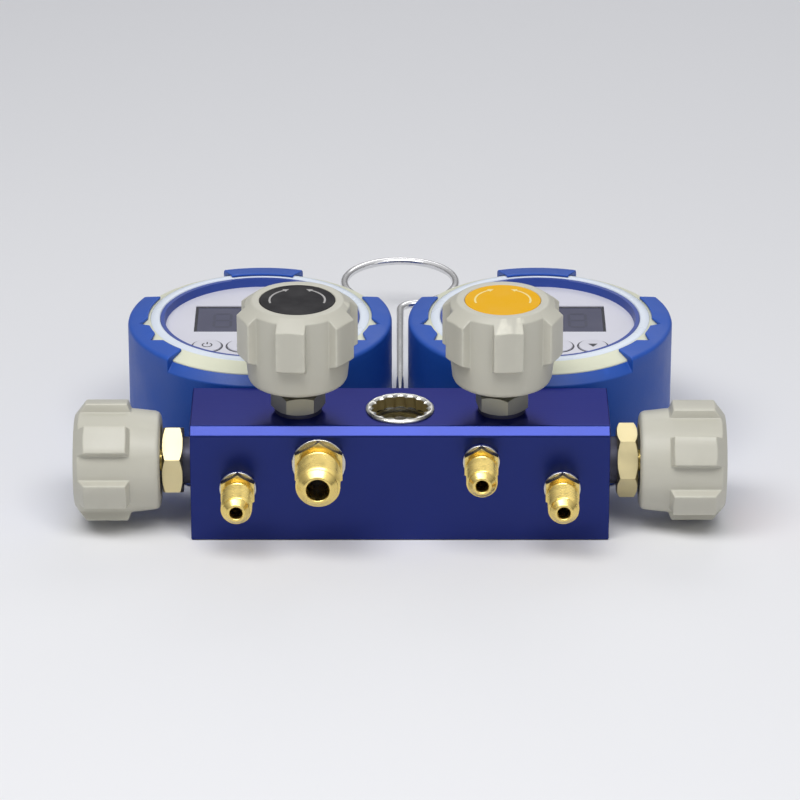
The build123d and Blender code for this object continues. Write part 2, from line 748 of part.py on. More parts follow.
for side in gauges:
    base = gauge_plane(side)
    sensor_base = sensor_plane(side)
    sensor_reach = gauge_y - housing_radius - block_back

    with BuildPart() as boot:
        turned(
            base,
            (boot_opening_radius, 0),
            (boot_radius - boot_edge_round, 0),
            (boot_radius, boot_edge_round),
            (boot_radius, boot_shoulder - boot_edge_round),
            (boot_radius - boot_edge_round, boot_shoulder),
            (boot_lip_reach, boot_top),
            (boot_lip_reach, lip_bottom),
            (bezel_outer_radius - bezel_slope_width, lip_bottom),
            (bezel_outer_radius + fit_gap, rim_clearance),
            (boot_bore, rim_clearance - housing_rim_slope),
            (boot_bore, boot_floor),
            (boot_opening_radius, boot_floor),
        )
        inside = boot_lip_reach - cut_margin
        outside = boot_radius + cut_margin
        for start, end in open_sectors:
            open_sector = sector(base.offset(boot_cut_height), inside, outside, start, end)
            extrude(open_sector, amount=boot_top, mode=Mode.SUBTRACT)
        lip_sector = sector(base.offset(boot_cut_height), inside, side_lip_reach, top_claw[1], 360 + top_claw[0])
        extrude(lip_sector, amount=boot_top, mode=Mode.SUBTRACT)
        turned(
            gauge_plane(side, angle=front_crescent[0]),
            (inside, front_rim_inner_height),
            (boot_bore, front_rim_inner_height),
            (boot_radius, front_rim_outer_height),
            (outside, front_rim_outer_height),
            (outside, boot_top + cut_margin),
            (inside, boot_top + cut_margin),
            mode=Mode.SUBTRACT,
            arc=front_crescent[1] - front_crescent[0],
        )
        with BuildSketch(base.offset(boot_cut_height)):
            for angle in claw_notches:
                with PolarLocations(0, 1, start_angle=angle):
                    Polygon((notch_base, -notch_half_width), (notch_tip, 0), (notch_base, notch_half_width), align=None)
        extrude(amount=boot_top, mode=Mode.SUBTRACT)
        with BuildSketch(sensor_base):
            Circle(sensor_flange_radius + fit_gap)
        extrude(amount=sensor_reach + housing_wall, mode=Mode.SUBTRACT)
    save(boot, f"{side}_boot")

    with BuildPart() as housing:
        turned(
            base,
            (0, floor_bottom),
            (housing_radius - housing_edge, floor_bottom),
            (housing_radius, floor_bottom + housing_edge),
            (housing_radius, housing_top - housing_rim_slope - bezel_edge),
            (housing_radius - bezel_edge, housing_top - housing_rim_slope),
            (housing_rim_bore, housing_top),
            (housing_rim_bore, face_bottom),
            (housing_ledge_radius, face_bottom),
            (housing_ledge_radius, housing_shoulder + housing_bore - housing_ledge_radius),
            (housing_bore, housing_shoulder),
            (housing_bore, floor_top),
            (0, floor_top),
        )
        with BuildSketch(base.offset(floor_top)):
            with Locations(post_places):
                Circle(post_radius)
        extrude(amount=board_height - floor_top)
        with BuildSketch(base.offset(floor_top)):
            RectangleRounded(bay_width + 2 * bay_wall, bay_depth + 2 * bay_wall, bay_corner + bay_wall)
        extrude(amount=bay_wall_height)
        with BuildSketch(base.offset(floor_bottom)):
            RectangleRounded(bay_width, bay_depth, bay_corner)
        extrude(amount=housing_floor + bay_wall_height, mode=Mode.SUBTRACT)
        with BuildSketch(base.offset(floor_bottom)):
            with Locations(post_places):
                Circle(screw_radius + fit_gap)
        extrude(amount=board_height, mode=Mode.SUBTRACT)
        with BuildSketch(base.offset(floor_bottom)):
            with Locations(post_places):
                Circle(screw_head_radius + fit_gap)
        extrude(amount=screw_head_height, mode=Mode.SUBTRACT)
        with BuildSketch(sensor_base):
            Circle(sensor_neck_radius + fit_gap)
        extrude(amount=sensor_reach + 2 * housing_wall, mode=Mode.SUBTRACT)
    save(housing, f"{side}_housing")

    with BuildPart() as battery_cover:
        with BuildSketch(base.offset(floor_bottom)):
            RectangleRounded(bay_width - 2 * loose_gap, bay_depth - 2 * loose_gap, bay_corner - loose_gap)
        extrude(amount=housing_floor)
        with BuildSketch(base.offset(floor_bottom)):
            with GridLocations(0, cover_groove_pitch, 1, cover_grooves):
                SlotOverall(cover_groove_length, cover_groove_width)
        extrude(amount=cover_groove_depth, mode=Mode.SUBTRACT)
    save(battery_cover, f"{side}_battery_cover")

    with BuildPart() as circuit_board:
        with BuildSketch(base.offset(board_height)):
            Circle(board_radius)
            with Locations(post_places):
                Circle(screw_radius + fit_gap, mode=Mode.SUBTRACT)
        extrude(amount=board_thickness)
        with BuildSketch(base.offset(board_top)):
            with Locations(button_places):
                Rectangle(switch_size, switch_size)
        extrude(amount=switch_top - board_top)
    save(circuit_board, f"{side}_circuit_board")

    with BuildPart() as lcd:
        with BuildSketch(base.offset(board_top)):
            with Locations((0, lcd_offset)):
                Rectangle(lcd_width + 2 * lcd_frame_margin, lcd_height + 2 * lcd_frame_margin)
        extrude(amount=face_bottom - fit_gap - board_top)
        with BuildSketch(base.offset(face_bottom - fit_gap)):
            with Locations((0, lcd_offset)):
                Rectangle(lcd_width - 2 * fit_gap, lcd_height - 2 * fit_gap)
        extrude(amount=face_thickness + fit_gap - lcd_glass_sink)
    save(lcd, f"{side}_lcd")

    with BuildPart() as face_panel:
        with BuildSketch(base.offset(face_bottom)):
            Circle(bezel_outer_radius)
            with Locations((0, lcd_offset)):
                Rectangle(lcd_width, lcd_height, mode=Mode.SUBTRACT)
            with Locations(button_places):
                Circle(button_radius, mode=Mode.SUBTRACT)
            with Locations(post_places):
                Circle(post_radius + fit_gap, mode=Mode.SUBTRACT)
        extrude(amount=face_thickness)
    save(face_panel, f"{side}_face_panel")

    with BuildPart() as bezel:
        turned(
            base,
            (bezel_inner_radius, face_top),
            (bezel_outer_radius, face_top),
            (bezel_outer_radius, housing_top),
            (bezel_outer_radius - bezel_slope_width, bezel_top),
            (bezel_inner_radius + bezel_edge, bezel_top),
            (bezel_inner_radius, bezel_top - bezel_edge),
        )
        with BuildSketch(base.offset(face_top)):
            with Locations(post_places):
                Circle(post_radius)
        extrude(amount=board_top + fit_gap - face_top)
        with BuildSketch(base.offset(board_top)):
            with Locations(post_places):
                Circle(screw_radius + fit_gap)
        extrude(amount=screw_tip + loose_gap - board_top, mode=Mode.SUBTRACT)
    save(bezel, f"{side}_bezel")

    with BuildPart() as liner:
        turned(
            base,
            (liner_inner_radius, face_top),
            (bezel_inner_radius - fit_gap, face_top),
            (bezel_inner_radius - fit_gap, bezel_top - liner_drop),
            (liner_inner_radius + liner_drop, bezel_top - liner_drop),
        )
    save(liner, f"{side}_liner")

    with BuildPart() as pressure_sensor:
        turned(
            sensor_base,
            (0, -sensor_spigot_depth),
            (sensor_spigot_radius, -sensor_spigot_depth),
            (sensor_spigot_radius, fit_gap),
            (sensor_flange_radius, fit_gap),
            (sensor_flange_radius, sensor_reach - fit_gap),
            (sensor_neck_radius, sensor_reach - fit_gap),
            (sensor_neck_radius, sensor_can_start),
            (sensor_can_radius, sensor_can_start),
            (sensor_can_radius, sensor_can_start + sensor_can_length - sensor_can_edge),
            (sensor_can_radius - sensor_can_edge, sensor_can_start + sensor_can_length),
            (0, sensor_can_start + sensor_can_length),
        )
        with BuildSketch(sensor_base.offset(-sensor_spigot_depth)):
            Circle(sensor_bore)
        extrude(amount=sensor_spigot_depth + sensor_can_start, mode=Mode.SUBTRACT)
    save(pressure_sensor, f"{side}_pressure_sensor")

    for number, name in enumerate(button_names):
        button_x = (number - (button_count - 1) / 2) * button_spacing
        button_base = Plane(origin=base.from_local_coords((button_x, -button_offset, 0)), z_dir=(0, 0, 1))
        with BuildPart() as button:
            turned(
                button_base,
                (0, flange_top - button_flange_height),
                (button_radius + button_flange, flange_top - button_flange_height),
                (button_radius + button_flange, flange_top),
                (button_radius - running_gap, flange_top),
                (button_radius - running_gap, face_top + button_rise - button_edge),
                (button_radius - running_gap - button_edge, face_top + button_rise),
                (0, face_top + button_rise),
            )
        save(button, f"{side}_{name}_button")

# Two cells in each gauge and the screws that hold each housing, board and bezel together
with BuildPart() as battery_cells:
    for side in gauges:
        for row in (-1, 1):
            cell_base = Plane(
                origin=(gauges[side] - row * cell_length / 2, gauge_y + row * cell_pitch / 2, cell_height),
                x_dir=(0, 1, 0),
                z_dir=(row, 0, 0),
            )
            turned(
                cell_base,
                (0, 0),
                (cell_radius, 0),
                (cell_radius, cell_length - cell_button_length),
                (cell_button_radius, cell_length - cell_button_length),
                (cell_button_radius, cell_length),
                (0, cell_length),
            )
save(battery_cells, "battery_cells")

with BuildPart() as housing_screws:
    for side in gauges:
        with BuildSketch(gauge_plane(side, floor_bottom)):
            with Locations(post_places):
                Circle(screw_head_radius)
        extrude(amount=screw_head_height)
        with BuildSketch(gauge_plane(side, floor_bottom + screw_head_height)):
            with Locations(post_places):
                Circle(screw_radius)
        extrude(amount=screw_tip - floor_bottom - screw_head_height)
save(housing_screws, "housing_screws")
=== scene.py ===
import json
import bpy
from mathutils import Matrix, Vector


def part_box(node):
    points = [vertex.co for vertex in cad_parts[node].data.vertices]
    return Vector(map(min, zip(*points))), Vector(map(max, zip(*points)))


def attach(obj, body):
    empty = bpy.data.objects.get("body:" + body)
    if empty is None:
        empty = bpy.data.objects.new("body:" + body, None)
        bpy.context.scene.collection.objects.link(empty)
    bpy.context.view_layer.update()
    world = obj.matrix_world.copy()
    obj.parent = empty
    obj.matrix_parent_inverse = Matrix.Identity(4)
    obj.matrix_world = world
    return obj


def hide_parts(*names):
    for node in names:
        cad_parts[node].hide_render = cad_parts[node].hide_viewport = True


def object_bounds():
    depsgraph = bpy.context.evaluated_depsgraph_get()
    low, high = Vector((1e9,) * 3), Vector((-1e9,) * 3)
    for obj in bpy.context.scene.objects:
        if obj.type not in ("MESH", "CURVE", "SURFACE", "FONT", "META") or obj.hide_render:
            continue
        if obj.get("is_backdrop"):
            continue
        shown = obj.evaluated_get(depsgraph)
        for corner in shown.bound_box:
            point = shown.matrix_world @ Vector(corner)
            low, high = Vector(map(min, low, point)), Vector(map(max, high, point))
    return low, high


bl_info = {
    "name": "Refrigerant manifold gauge",
    "version": (1, 0, 0),
    "blender": (4, 5, 0),
    "location": "3D View > Sidebar > Manifold",
    "description": "Dresses a four-valve digital refrigerant manifold: block, ports, valves, gauges and hook",
    "category": "Object",
}

from math import asin, atan2, ceil, cos, degrees, pi, radians, sin, sqrt, tan

import bmesh
import bpy
from mathutils import Matrix, Vector

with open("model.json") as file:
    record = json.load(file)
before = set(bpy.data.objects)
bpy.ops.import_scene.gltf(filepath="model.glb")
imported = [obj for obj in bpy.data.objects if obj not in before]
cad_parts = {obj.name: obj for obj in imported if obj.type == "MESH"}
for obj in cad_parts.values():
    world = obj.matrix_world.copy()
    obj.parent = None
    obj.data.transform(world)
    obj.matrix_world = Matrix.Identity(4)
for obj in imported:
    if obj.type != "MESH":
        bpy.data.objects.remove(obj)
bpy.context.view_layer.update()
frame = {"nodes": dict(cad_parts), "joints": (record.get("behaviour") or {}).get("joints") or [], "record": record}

MM = 0.001
NEAR_AXIS = 1e-7
VALVES = ("low", "high", "vacuum", "charging")
SIDES = ("left", "right")
BUTTONS = ("power", "mode", "up", "down")
MOUNTS = {mount["name"]: mount for mount in frame["record"]["mounts"]}
JOINTS = {joint["name"]: joint for joint in frame["joints"]}


# User settings

def length_setting(name, about, value):
    return bpy.props.FloatProperty(name=name, description=about, default=value, unit="LENGTH")


def colour_setting(name, about, value):
    return bpy.props.FloatVectorProperty(name=name, description=about, default=value, subtype="COLOR")


class ManifoldSizes(bpy.types.PropertyGroup):
    edge_round: length_setting("Edge round", "Radius of the block's broken edges", 0.5 * MM)
    knob_edge: length_setting("Knob edge", "Radius of the moulded edges of the knobs", 0.45 * MM)
    boot_edge: length_setting("Boot edge", "Radius of the moulded edges of the boots", 0.4 * MM)
    print_lift: length_setting("Print height", "Thickness of the printed marks", 0.04 * MM)


class ManifoldColours(bpy.types.PropertyGroup):
    anodised: colour_setting("Anodising", "Colour of the valve block", (0.009, 0.021, 0.165))
    brass: colour_setting("Brass", "Colour of ports and side bonnets", (0.86, 0.66, 0.22))
    nickel: colour_setting("Nickel", "Colour of plated rings and bonnets", (0.66, 0.65, 0.61))
    knob: colour_setting("Knobs", "Colour of the knobs", (0.53, 0.515, 0.435))
    boot: colour_setting("Boots", "Colour of the rubber boots", (0.011, 0.078, 0.41))
    housing: colour_setting("Housings", "Colour of the gauge housings", (0.77, 0.78, 0.60))
    bezel: colour_setting("Bezels", "Colour of the bezel rings", (0.73, 0.79, 0.87))
    face: colour_setting("Faces", "Colour of the gauge faces", (0.67, 0.665, 0.73))
    display: colour_setting("Displays", "Colour of the unlit displays", (0.058, 0.060, 0.112))


class ManifoldStage(bpy.types.PropertyGroup):
    camera_height: bpy.props.FloatProperty(
        name="Camera elevation", description="Angle of the view above the gauge faces", subtype="ANGLE",
        default=radians(24.6))
    camera_distance: length_setting("Camera distance", "Distance from the sight glass", 1.715)
    lens: bpy.props.FloatProperty(
        name="Lens", description="Focal length in millimetres", default=214.5)


def sizes():
    return bpy.context.scene.manifold_sizes


def colours():
    return bpy.context.scene.manifold_colours


# Places taken from the frame

def place_at(origin, axis, towards=(0, -1, 0)):
    """Matrix whose z runs along axis and whose x points towards the given direction."""
    up = Vector(axis).normalized()
    across = Vector(towards)
    across = (across - up * across.dot(up)).normalized()
    side = up.cross(across)
    turn = Matrix((across, side, up)).transposed().to_4x4()
    return Matrix.Translation(Vector(origin)) @ turn


def valve_place(valve):
    joint = JOINTS[f"{valve}_valve_turn"]
    return place_at(joint["pos_m"], joint["axis"])


def valve_span(valve, piece):
    """Lowest and highest point of a node along its valve's axis, in metres."""
    place = valve_place(valve).inverted()
    low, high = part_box(f"{valve}_{piece}")
    ends = sorted(((place @ low).z, (place @ high).z))
    return ends[0], ends[1]


def port_place(valve):
    mount = MOUNTS[f"{valve}_port_thread"]
    x, _, z = mount["pos_m"]
    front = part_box("port_washers")[1].y
    return place_at((x, front, z), mount["axis"], (1, 0, 0))


def gauge_place(side):
    low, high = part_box(f"{side}_housing")
    return Matrix.Translation(((low.x + high.x) / 2, (low.y + high.y) / 2, 0))


# Mesh tools

def soften(outline, steps=4):
    """Rounds the corners of an outline: a point with a third number is rounded by that length."""
    result = []
    count = len(outline)
    for index, point in enumerate(outline):
        corner = Vector(point[:2])
        reach = point[2] if len(point) > 2 else 0
        if not reach:
            result.append(corner)
            continue
        before = Vector(outline[index - 1][:2]) - corner
        after = Vector(outline[(index + 1) % count][:2]) - corner
        start = corner + before.normalized() * min(reach, before.length / 2)
        end = corner + after.normalized() * min(reach, after.length / 2)
        for step in range(steps + 1):
            t = step / steps
            result.append(start * (1 - t) ** 2 + corner * 2 * t * (1 - t) + end * t * t)
    return result


def column(bm, angle, outline):
    """One outline of (radius, height) points, stood up at an angle round the z axis."""
    spread = Vector((cos(angle), sin(angle)))
    return [bm.verts.new((spread.x * p[0], spread.y * p[0], p[1])) for p in outline]


def join_rings(bm, rings):
    """Joins each closed ring of vertices to the next one, which has as many."""
    for left, right in zip(rings, rings[1:]):
        for row in range(len(left)):
            above = (row + 1) % len(left)
            bm.faces.new((left[row], right[row], right[above], left[above]))


def skin_columns(bm, columns):
    """Joins columns of (angle, outline) into a skin all round the z axis."""
    rings = [column(bm, angle, outline) for angle, outline in columns]
    join_rings(bm, rings + rings[:1])


def turned(bm, outline, steps=96):
    skin_columns(bm, [(2 * pi * step / steps, outline) for step in range(steps)])


def prism(bm, outline, bottom, top):
    """A closed prism over a flat outline."""
    low, high = [[bm.verts.new((p[0], p[1], height)) for p in outline] for height in (bottom, top)]
    bm.faces.new(list(reversed(low)))
    bm.faces.new(high)
    join_rings(bm, [low, high])


def clean(bm):
    bmesh.ops.remove_doubles(bm, verts=bm.verts, dist=2e-6)
    bmesh.ops.dissolve_degenerate(bm, edges=bm.edges, dist=1e-6)
    bmesh.ops.recalc_face_normals(bm, faces=bm.faces)


def round_edges(bm, width, angle=28, segments=3):
    clean(bm)
    sharp = [e for e in bm.edges if len(e.link_faces) == 2 and e.calc_face_angle(0) > radians(angle)]
    bmesh.ops.bevel(
        bm, geom=sharp, offset=width, offset_type="OFFSET", segments=segments, profile=0.5, affect="EDGES",
        clamp_overlap=True)


def make_piece(bm, name, place, body, finish, replaced=(), smooth=30):
    """Turns a mesh into a piece of the scene, on its body and the nodes that it replaces."""
    clean(bm)
    mesh = bpy.data.meshes.new(name)
    bm.to_mesh(mesh)
    bm.free()
    mesh.shade_smooth()
    mesh.set_sharp_from_angle(angle=radians(smooth))
    piece = bpy.data.objects.new(name, mesh)
    bpy.context.scene.collection.objects.link(piece)
    piece.matrix_world = place
    mesh.materials.append(finish_of(finish))
    weighted = piece.modifiers.new("Even shading", "WEIGHTED_NORMAL")
    weighted.keep_sharp = True
    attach(piece, body)
    if replaced:
        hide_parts(*replaced)
    return piece


def body_of_node(node):
    for body, nodes in frame["record"]["behaviour"]["bodies"].items():
        if node in nodes:
            return body
    raise RuntimeError(f"no body holds {node}")


def paint(node, finish):
    """Gives a CAD node its finish."""
    for mesh_slot in frame["nodes"][node].material_slots:
        mesh_slot.material = finish_of(finish)


def hex_outline_columns(flats, height, chamfer_radius, bore, steps=72):
    """Columns of a hex nut with 30 degree chamfers at both ends."""
    columns = []
    for step in range(steps):
        angle = 2 * pi * step / steps
        off = (angle + pi / 6) % (pi / 3) - pi / 6
        reach = flats / 2 / cos(off)
        inner = min(reach, chamfer_radius)
        drop = max(0.0, (reach - chamfer_radius) * tan(radians(30)))
        columns.append((angle, [
            (bore, 0), (inner, 0), (reach, drop), (reach, height - drop), (inner, height), (bore, height)]))
    return columns


def add_thread(bm, radius, depth, pitch, bottom, top, bore, steps=64):
    """A right-handed V thread between two heights, closed inside by a bore."""
    turns = ceil((top - bottom) / pitch) + 1
    pattern = ((0.0, 0.0), (0.38, 1.0), (0.5, 1.0), (0.88, 0.0))
    columns = []
    for step in range(steps + 1):
        lead = step / steps
        outline = []
        for turn in range(-1, turns):
            for at, crest in pattern:
                height = bottom + (turn + at + lead) * pitch
                fade = min(1.0, max(0.0, (height - bottom) / pitch), max(0.0, (top - height) / pitch * 2))
                held = min(max(height, bottom), top)
                outline.append((radius - depth + depth * crest * fade, held))
        columns.append(column(bm, 2 * pi * lead, [(bore, bottom)] + outline + [(bore, top)]))
    join_rings(bm, columns)


# Shader groups that several finishes share

def new_group(name, inputs, output="Height"):
    """A node group of plain numbers, with its input and output nodes."""
    group = bpy.data.node_groups.new(name, "ShaderNodeTree")
    for label, value in inputs.items():
        socket = group.interface.new_socket(label, in_out="INPUT", socket_type="NodeSocketFloat")
        socket.default_value = value
    group.interface.new_socket(output, in_out="OUTPUT", socket_type="NodeSocketFloat")
    return group, group.nodes.new("NodeGroupInput"), group.nodes.new("NodeGroupOutput")


def add_nodes(tree, *kinds):
    return [tree.nodes.new(f"ShaderNode{kind}") for kind in kinds]


def link(tree, *links):
    """Links sockets, each link given as node, output, node, input."""
    for source, output, sink, socket in links:
        tree.links.new(source.outputs[output], sink.inputs[socket])


def fine_grain():
    """Height of a fine moulded or cast grain."""
    group, source, sink = new_group("Fine grain", {"Scale": 1500.0})
    where, noise = add_nodes(group, "TexCoord", "TexNoise")
    noise.inputs["Detail"].default_value = 3.0
    link(
        group, (where, "Object", noise, "Vector"), (source, "Scale", noise, "Scale"),
        (noise, "Fac", sink, "Height"))
    return group


def soft_blotches():
    """A large soft variation between two values, for handled or weathered surfaces."""
    group, source, sink = new_group("Soft blotches", {"Scale": 40.0, "Low": 0.3, "High": 0.5}, "Value")
    group.interface.new_socket("Mask", in_out="OUTPUT", socket_type="NodeSocketFloat")
    where, noise, spread = add_nodes(group, "TexCoord", "TexNoise", "MapRange")
    noise.inputs["Detail"].default_value = 4.0
    spread.inputs["From Min"].default_value = 0.32
    spread.inputs["From Max"].default_value = 0.68
    link(
        group, (where, "Object", noise, "Vector"), (source, "Scale", noise, "Scale"),
        (noise, "Fac", spread, "Value"), (source, "Low", spread, "To Min"),
        (source, "High", spread, "To Max"), (spread, "Result", sink, "Value"), (noise, "Fac", sink, "Mask"))
    return group


def turning_marks():
    """Height of the fine rings that a lathe leaves round a piece's own z axis."""
    group, source, sink = new_group("Turning marks", {"Rings": 3500.0})
    where, split, flat, reach, joined, noise = add_nodes(
        group, "TexCoord", "SeparateXYZ", "CombineXYZ", "VectorMath", "Math", "TexNoise")
    reach.operation = "LENGTH"
    joined.operation = "ADD"
    noise.noise_dimensions = "1D"
    noise.inputs["Detail"].default_value = 2.0
    link(
        group, (where, "Object", split, "Vector"), (split, "X", flat, "X"), (split, "Y", flat, "Y"),
        (flat, "Vector", reach, 0), (reach, "Value", joined, 0), (split, "Z", joined, 1),
        (joined, "Value", noise, "W"), (source, "Rings", noise, "Scale"), (noise, "Fac", sink, "Height"))
    return group


def brushed_lines():
    """Height of long fine lines along the x axis, as on sawn and blasted bar."""
    group, source, sink = new_group("Brushed lines", {"Scale": 900.0})
    where, stretch, noise = add_nodes(group, "TexCoord", "VectorMath", "TexNoise")
    stretch.operation = "MULTIPLY"
    stretch.inputs[1].default_value = (0.03, 1.0, 1.0)
    noise.inputs["Detail"].default_value = 3.0
    link(
        group, (where, "Object", stretch, 0), (stretch, "Vector", noise, "Vector"),
        (source, "Scale", noise, "Scale"), (noise, "Fac", sink, "Height"))
    return group


def edge_wear_and_highlight():
    """Mask that is 1 on raised edges and 0 on flats, broken up by noise: edge wear and painted highlight."""
    group, source, sink = new_group("Edge wear and highlight", {"Start": 0.52, "End": 0.60, "Breakup": 300.0}, "Mask")
    shape, where, noise, spread, mixed = add_nodes(
        group, "NewGeometry", "TexCoord", "TexNoise", "MapRange", "Math")
    mixed.operation = "MULTIPLY"
    link(
        group, (where, "Object", noise, "Vector"), (source, "Breakup", noise, "Scale"),
        (shape, "Pointiness", spread, "Value"), (source, "Start", spread, "From Min"),
        (source, "End", spread, "From Max"), (spread, "Result", mixed, 0), (noise, "Fac", mixed, 1),
        (mixed, "Value", sink, "Mask"))
    return group


def painted_crease_shade():
    """Mask of painted shade: 1 in the inner corners of a moulded shape and 0 on flats."""
    group, source, sink = new_group("Painted crease shade", {"Start": 0.49, "End": 0.43}, "Mask")
    shape, spread = add_nodes(group, "NewGeometry", "MapRange")
    link(
        group, (shape, "Pointiness", spread, "Value"), (source, "Start", spread, "From Min"),
        (source, "End", spread, "From Max"), (spread, "Result", sink, "Mask"))
    return group


GROUP_MAKERS = {
    "Fine grain": fine_grain,
    "Soft blotches": soft_blotches,
    "Turning marks": turning_marks,
    "Brushed lines": brushed_lines,
    "Edge wear and highlight": edge_wear_and_highlight,
    "Painted crease shade": painted_crease_shade,
}


def place_group(tree, name, **values):
    group = bpy.data.node_groups.get(name) or GROUP_MAKERS[name]()
    node = tree.nodes.new("ShaderNodeGroup")
    node.node_tree = group
    for label, value in values.items():
        node.inputs[label.replace("_", " ")].default_value = value
    return node


# Finishes

def new_finish(name, colour, metallic=0.0, roughness=0.5, **sockets):
    finish = bpy.data.materials.new(name)
    finish.use_nodes = True
    tree = finish.node_tree
    shader = tree.nodes["Principled BSDF"]
    shader.inputs["Base Color"].default_value = (*colour, 1.0)
    shader.inputs["Metallic"].default_value = metallic
    shader.inputs["Roughness"].default_value = roughness
    for label, value in sockets.items():
        shader.inputs[label.replace("_", " ")].default_value = value
    return finish, tree, shader


def bump_from(tree, shader, height, strength, distance):
    bump = tree.nodes.new("ShaderNodeBump")
    bump.inputs["Strength"].default_value = strength
    bump.inputs["Distance"].default_value = distance
    tree.links.new(height, bump.inputs["Height"])
    tree.links.new(bump.outputs["Normal"], shader.inputs["Normal"])


def mix_colours(tree, shader, mask, colour, below):
    """Lays a colour over another one, or over an earlier mix, where the mask is 1."""
    mix = tree.nodes.new("ShaderNodeMix")
    mix.data_type = "RGBA"
    tree.links.new(mask, mix.inputs["Factor"])
    if isinstance(below, tuple):
        mix.inputs["A"].default_value = (*below, 1.0)
    else:
        tree.links.new(below.outputs["Result"], mix.inputs["A"])
    mix.inputs["B"].default_value = (*colour, 1.0)
    tree.links.new(mix.outputs["Result"], shader.inputs["Base Color"])
    return mix


def add_blotches(tree, shader, scale, low, high):
    """Varies the roughness between two values and returns the mask of the blotches."""
    blotches = place_group(tree, "Soft blotches", Scale=scale, Low=low, High=high)
    tree.links.new(blotches.outputs["Value"], shader.inputs["Roughness"])
    return blotches.outputs["Mask"]


def tint(colour, factor):
    return tuple(min(1.0, channel * factor) for channel in colour)


def anodised_finish():
    colour = colours().anodised
    finish, tree, shader = new_finish(
        "Blue anodising", colour, metallic=0.92, roughness=0.34, Coat_Weight=0.3, Coat_Roughness=0.20,
        Coat_IOR=1.6, Specular_Tint=(0.30, 0.32, 0.75, 1.0))
    mask = add_blotches(tree, shader, 30.0, 0.30, 0.40)
    mix_colours(tree, shader, mask, tint(colour, 1.12), tint(colour, 0.85))
    lines = place_group(tree, "Brushed lines", Scale=1500.0)
    bump_from(tree, shader, lines.outputs["Height"], 0.08, 0.0002)
    return finish


def brass_finish(name="Brass", colour=None, low=0.18, high=0.34):
    colour = colour or colours().brass
    finish, tree, shader = new_finish(name, colour, metallic=1.0, roughness=(low + high) / 2)
    mask = add_blotches(tree, shader, 160.0, low, high)
    mix_colours(tree, shader, mask, tint(colour, 1.08), tint(colour, 0.88))
    marks = place_group(tree, "Turning marks", Rings=5200.0)
    bump_from(tree, shader, marks.outputs["Height"], 0.10, 0.0001)
    return finish


def nickel_finish():
    finish, tree, shader = new_finish("Nickel plate", colours().nickel, metallic=1.0, roughness=0.28)
    add_blotches(tree, shader, 200.0, 0.20, 0.36)
    marks = place_group(tree, "Turning marks", Rings=4200.0)
    bump_from(tree, shader, marks.outputs["Height"], 0.08, 0.0001)
    return finish


def wire_finish():
    finish, tree, shader = new_finish("Bright wire", (0.74, 0.74, 0.75), metallic=1.0, roughness=0.16)
    add_blotches(tree, shader, 90.0, 0.12, 0.24)
    return finish


def zinc_finish():
    finish, tree, shader = new_finish("Zinc plate", (0.60, 0.60, 0.60), metallic=1.0, roughness=0.35)
    grain = place_group(tree, "Fine grain", Scale=2600.0)
    bump_from(tree, shader, grain.outputs["Height"], 0.1, 0.0001)
    return finish


def moulded_finish(name, colour, roughness, grain_scale=2200.0, grain=0.12, spread=0.08, wear_and_highlight=0.0, crease_shade=0.0):
    finish, tree, shader = new_finish(name, colour, roughness=roughness)
    mask = add_blotches(tree, shader, 55.0, roughness - spread, roughness + spread)
    mix = mix_colours(tree, shader, mask, tint(colour, 1.05), tint(colour, 0.95))
    # Lightens raised edges: partly wear, partly painted highlight.
    if wear_and_highlight:
        edges = place_group(tree, "Edge wear and highlight", Start=0.515, End=0.58)
        mix = mix_colours(tree, shader, edges.outputs["Mask"], tint(colour, 1 + wear_and_highlight), mix)
    # Darkens the colour in inner corners and creases: painted shade.
    if crease_shade:
        creases = place_group(tree, "Painted crease shade")
        mix_colours(tree, shader, creases.outputs["Mask"], tint(colour, 1 - crease_shade), mix)
    height = place_group(tree, "Fine grain", Scale=grain_scale)
    bump_from(tree, shader, height.outputs["Height"], grain, 0.0002)
    return finish


def glossy_finish(name, colour, roughness=0.18, coat=0.3, shine=0.5):
    finish, tree, shader = new_finish(
        name, colour, roughness=roughness, Coat_Weight=coat, Specular_IOR_Level=shine)
    add_blotches(tree, shader, 80.0, roughness * 0.8, roughness * 1.4)
    return finish


def glass_finish():
    finish, tree, shader = new_finish(
        "Sight glass", (0.93, 0.95, 0.90), roughness=0.02, Transmission_Weight=1.0, IOR=1.45)
    grain = place_group(tree, "Fine grain", Scale=60.0)
    bump_from(tree, shader, grain.outputs["Height"], 0.03, 0.0005)
    return finish


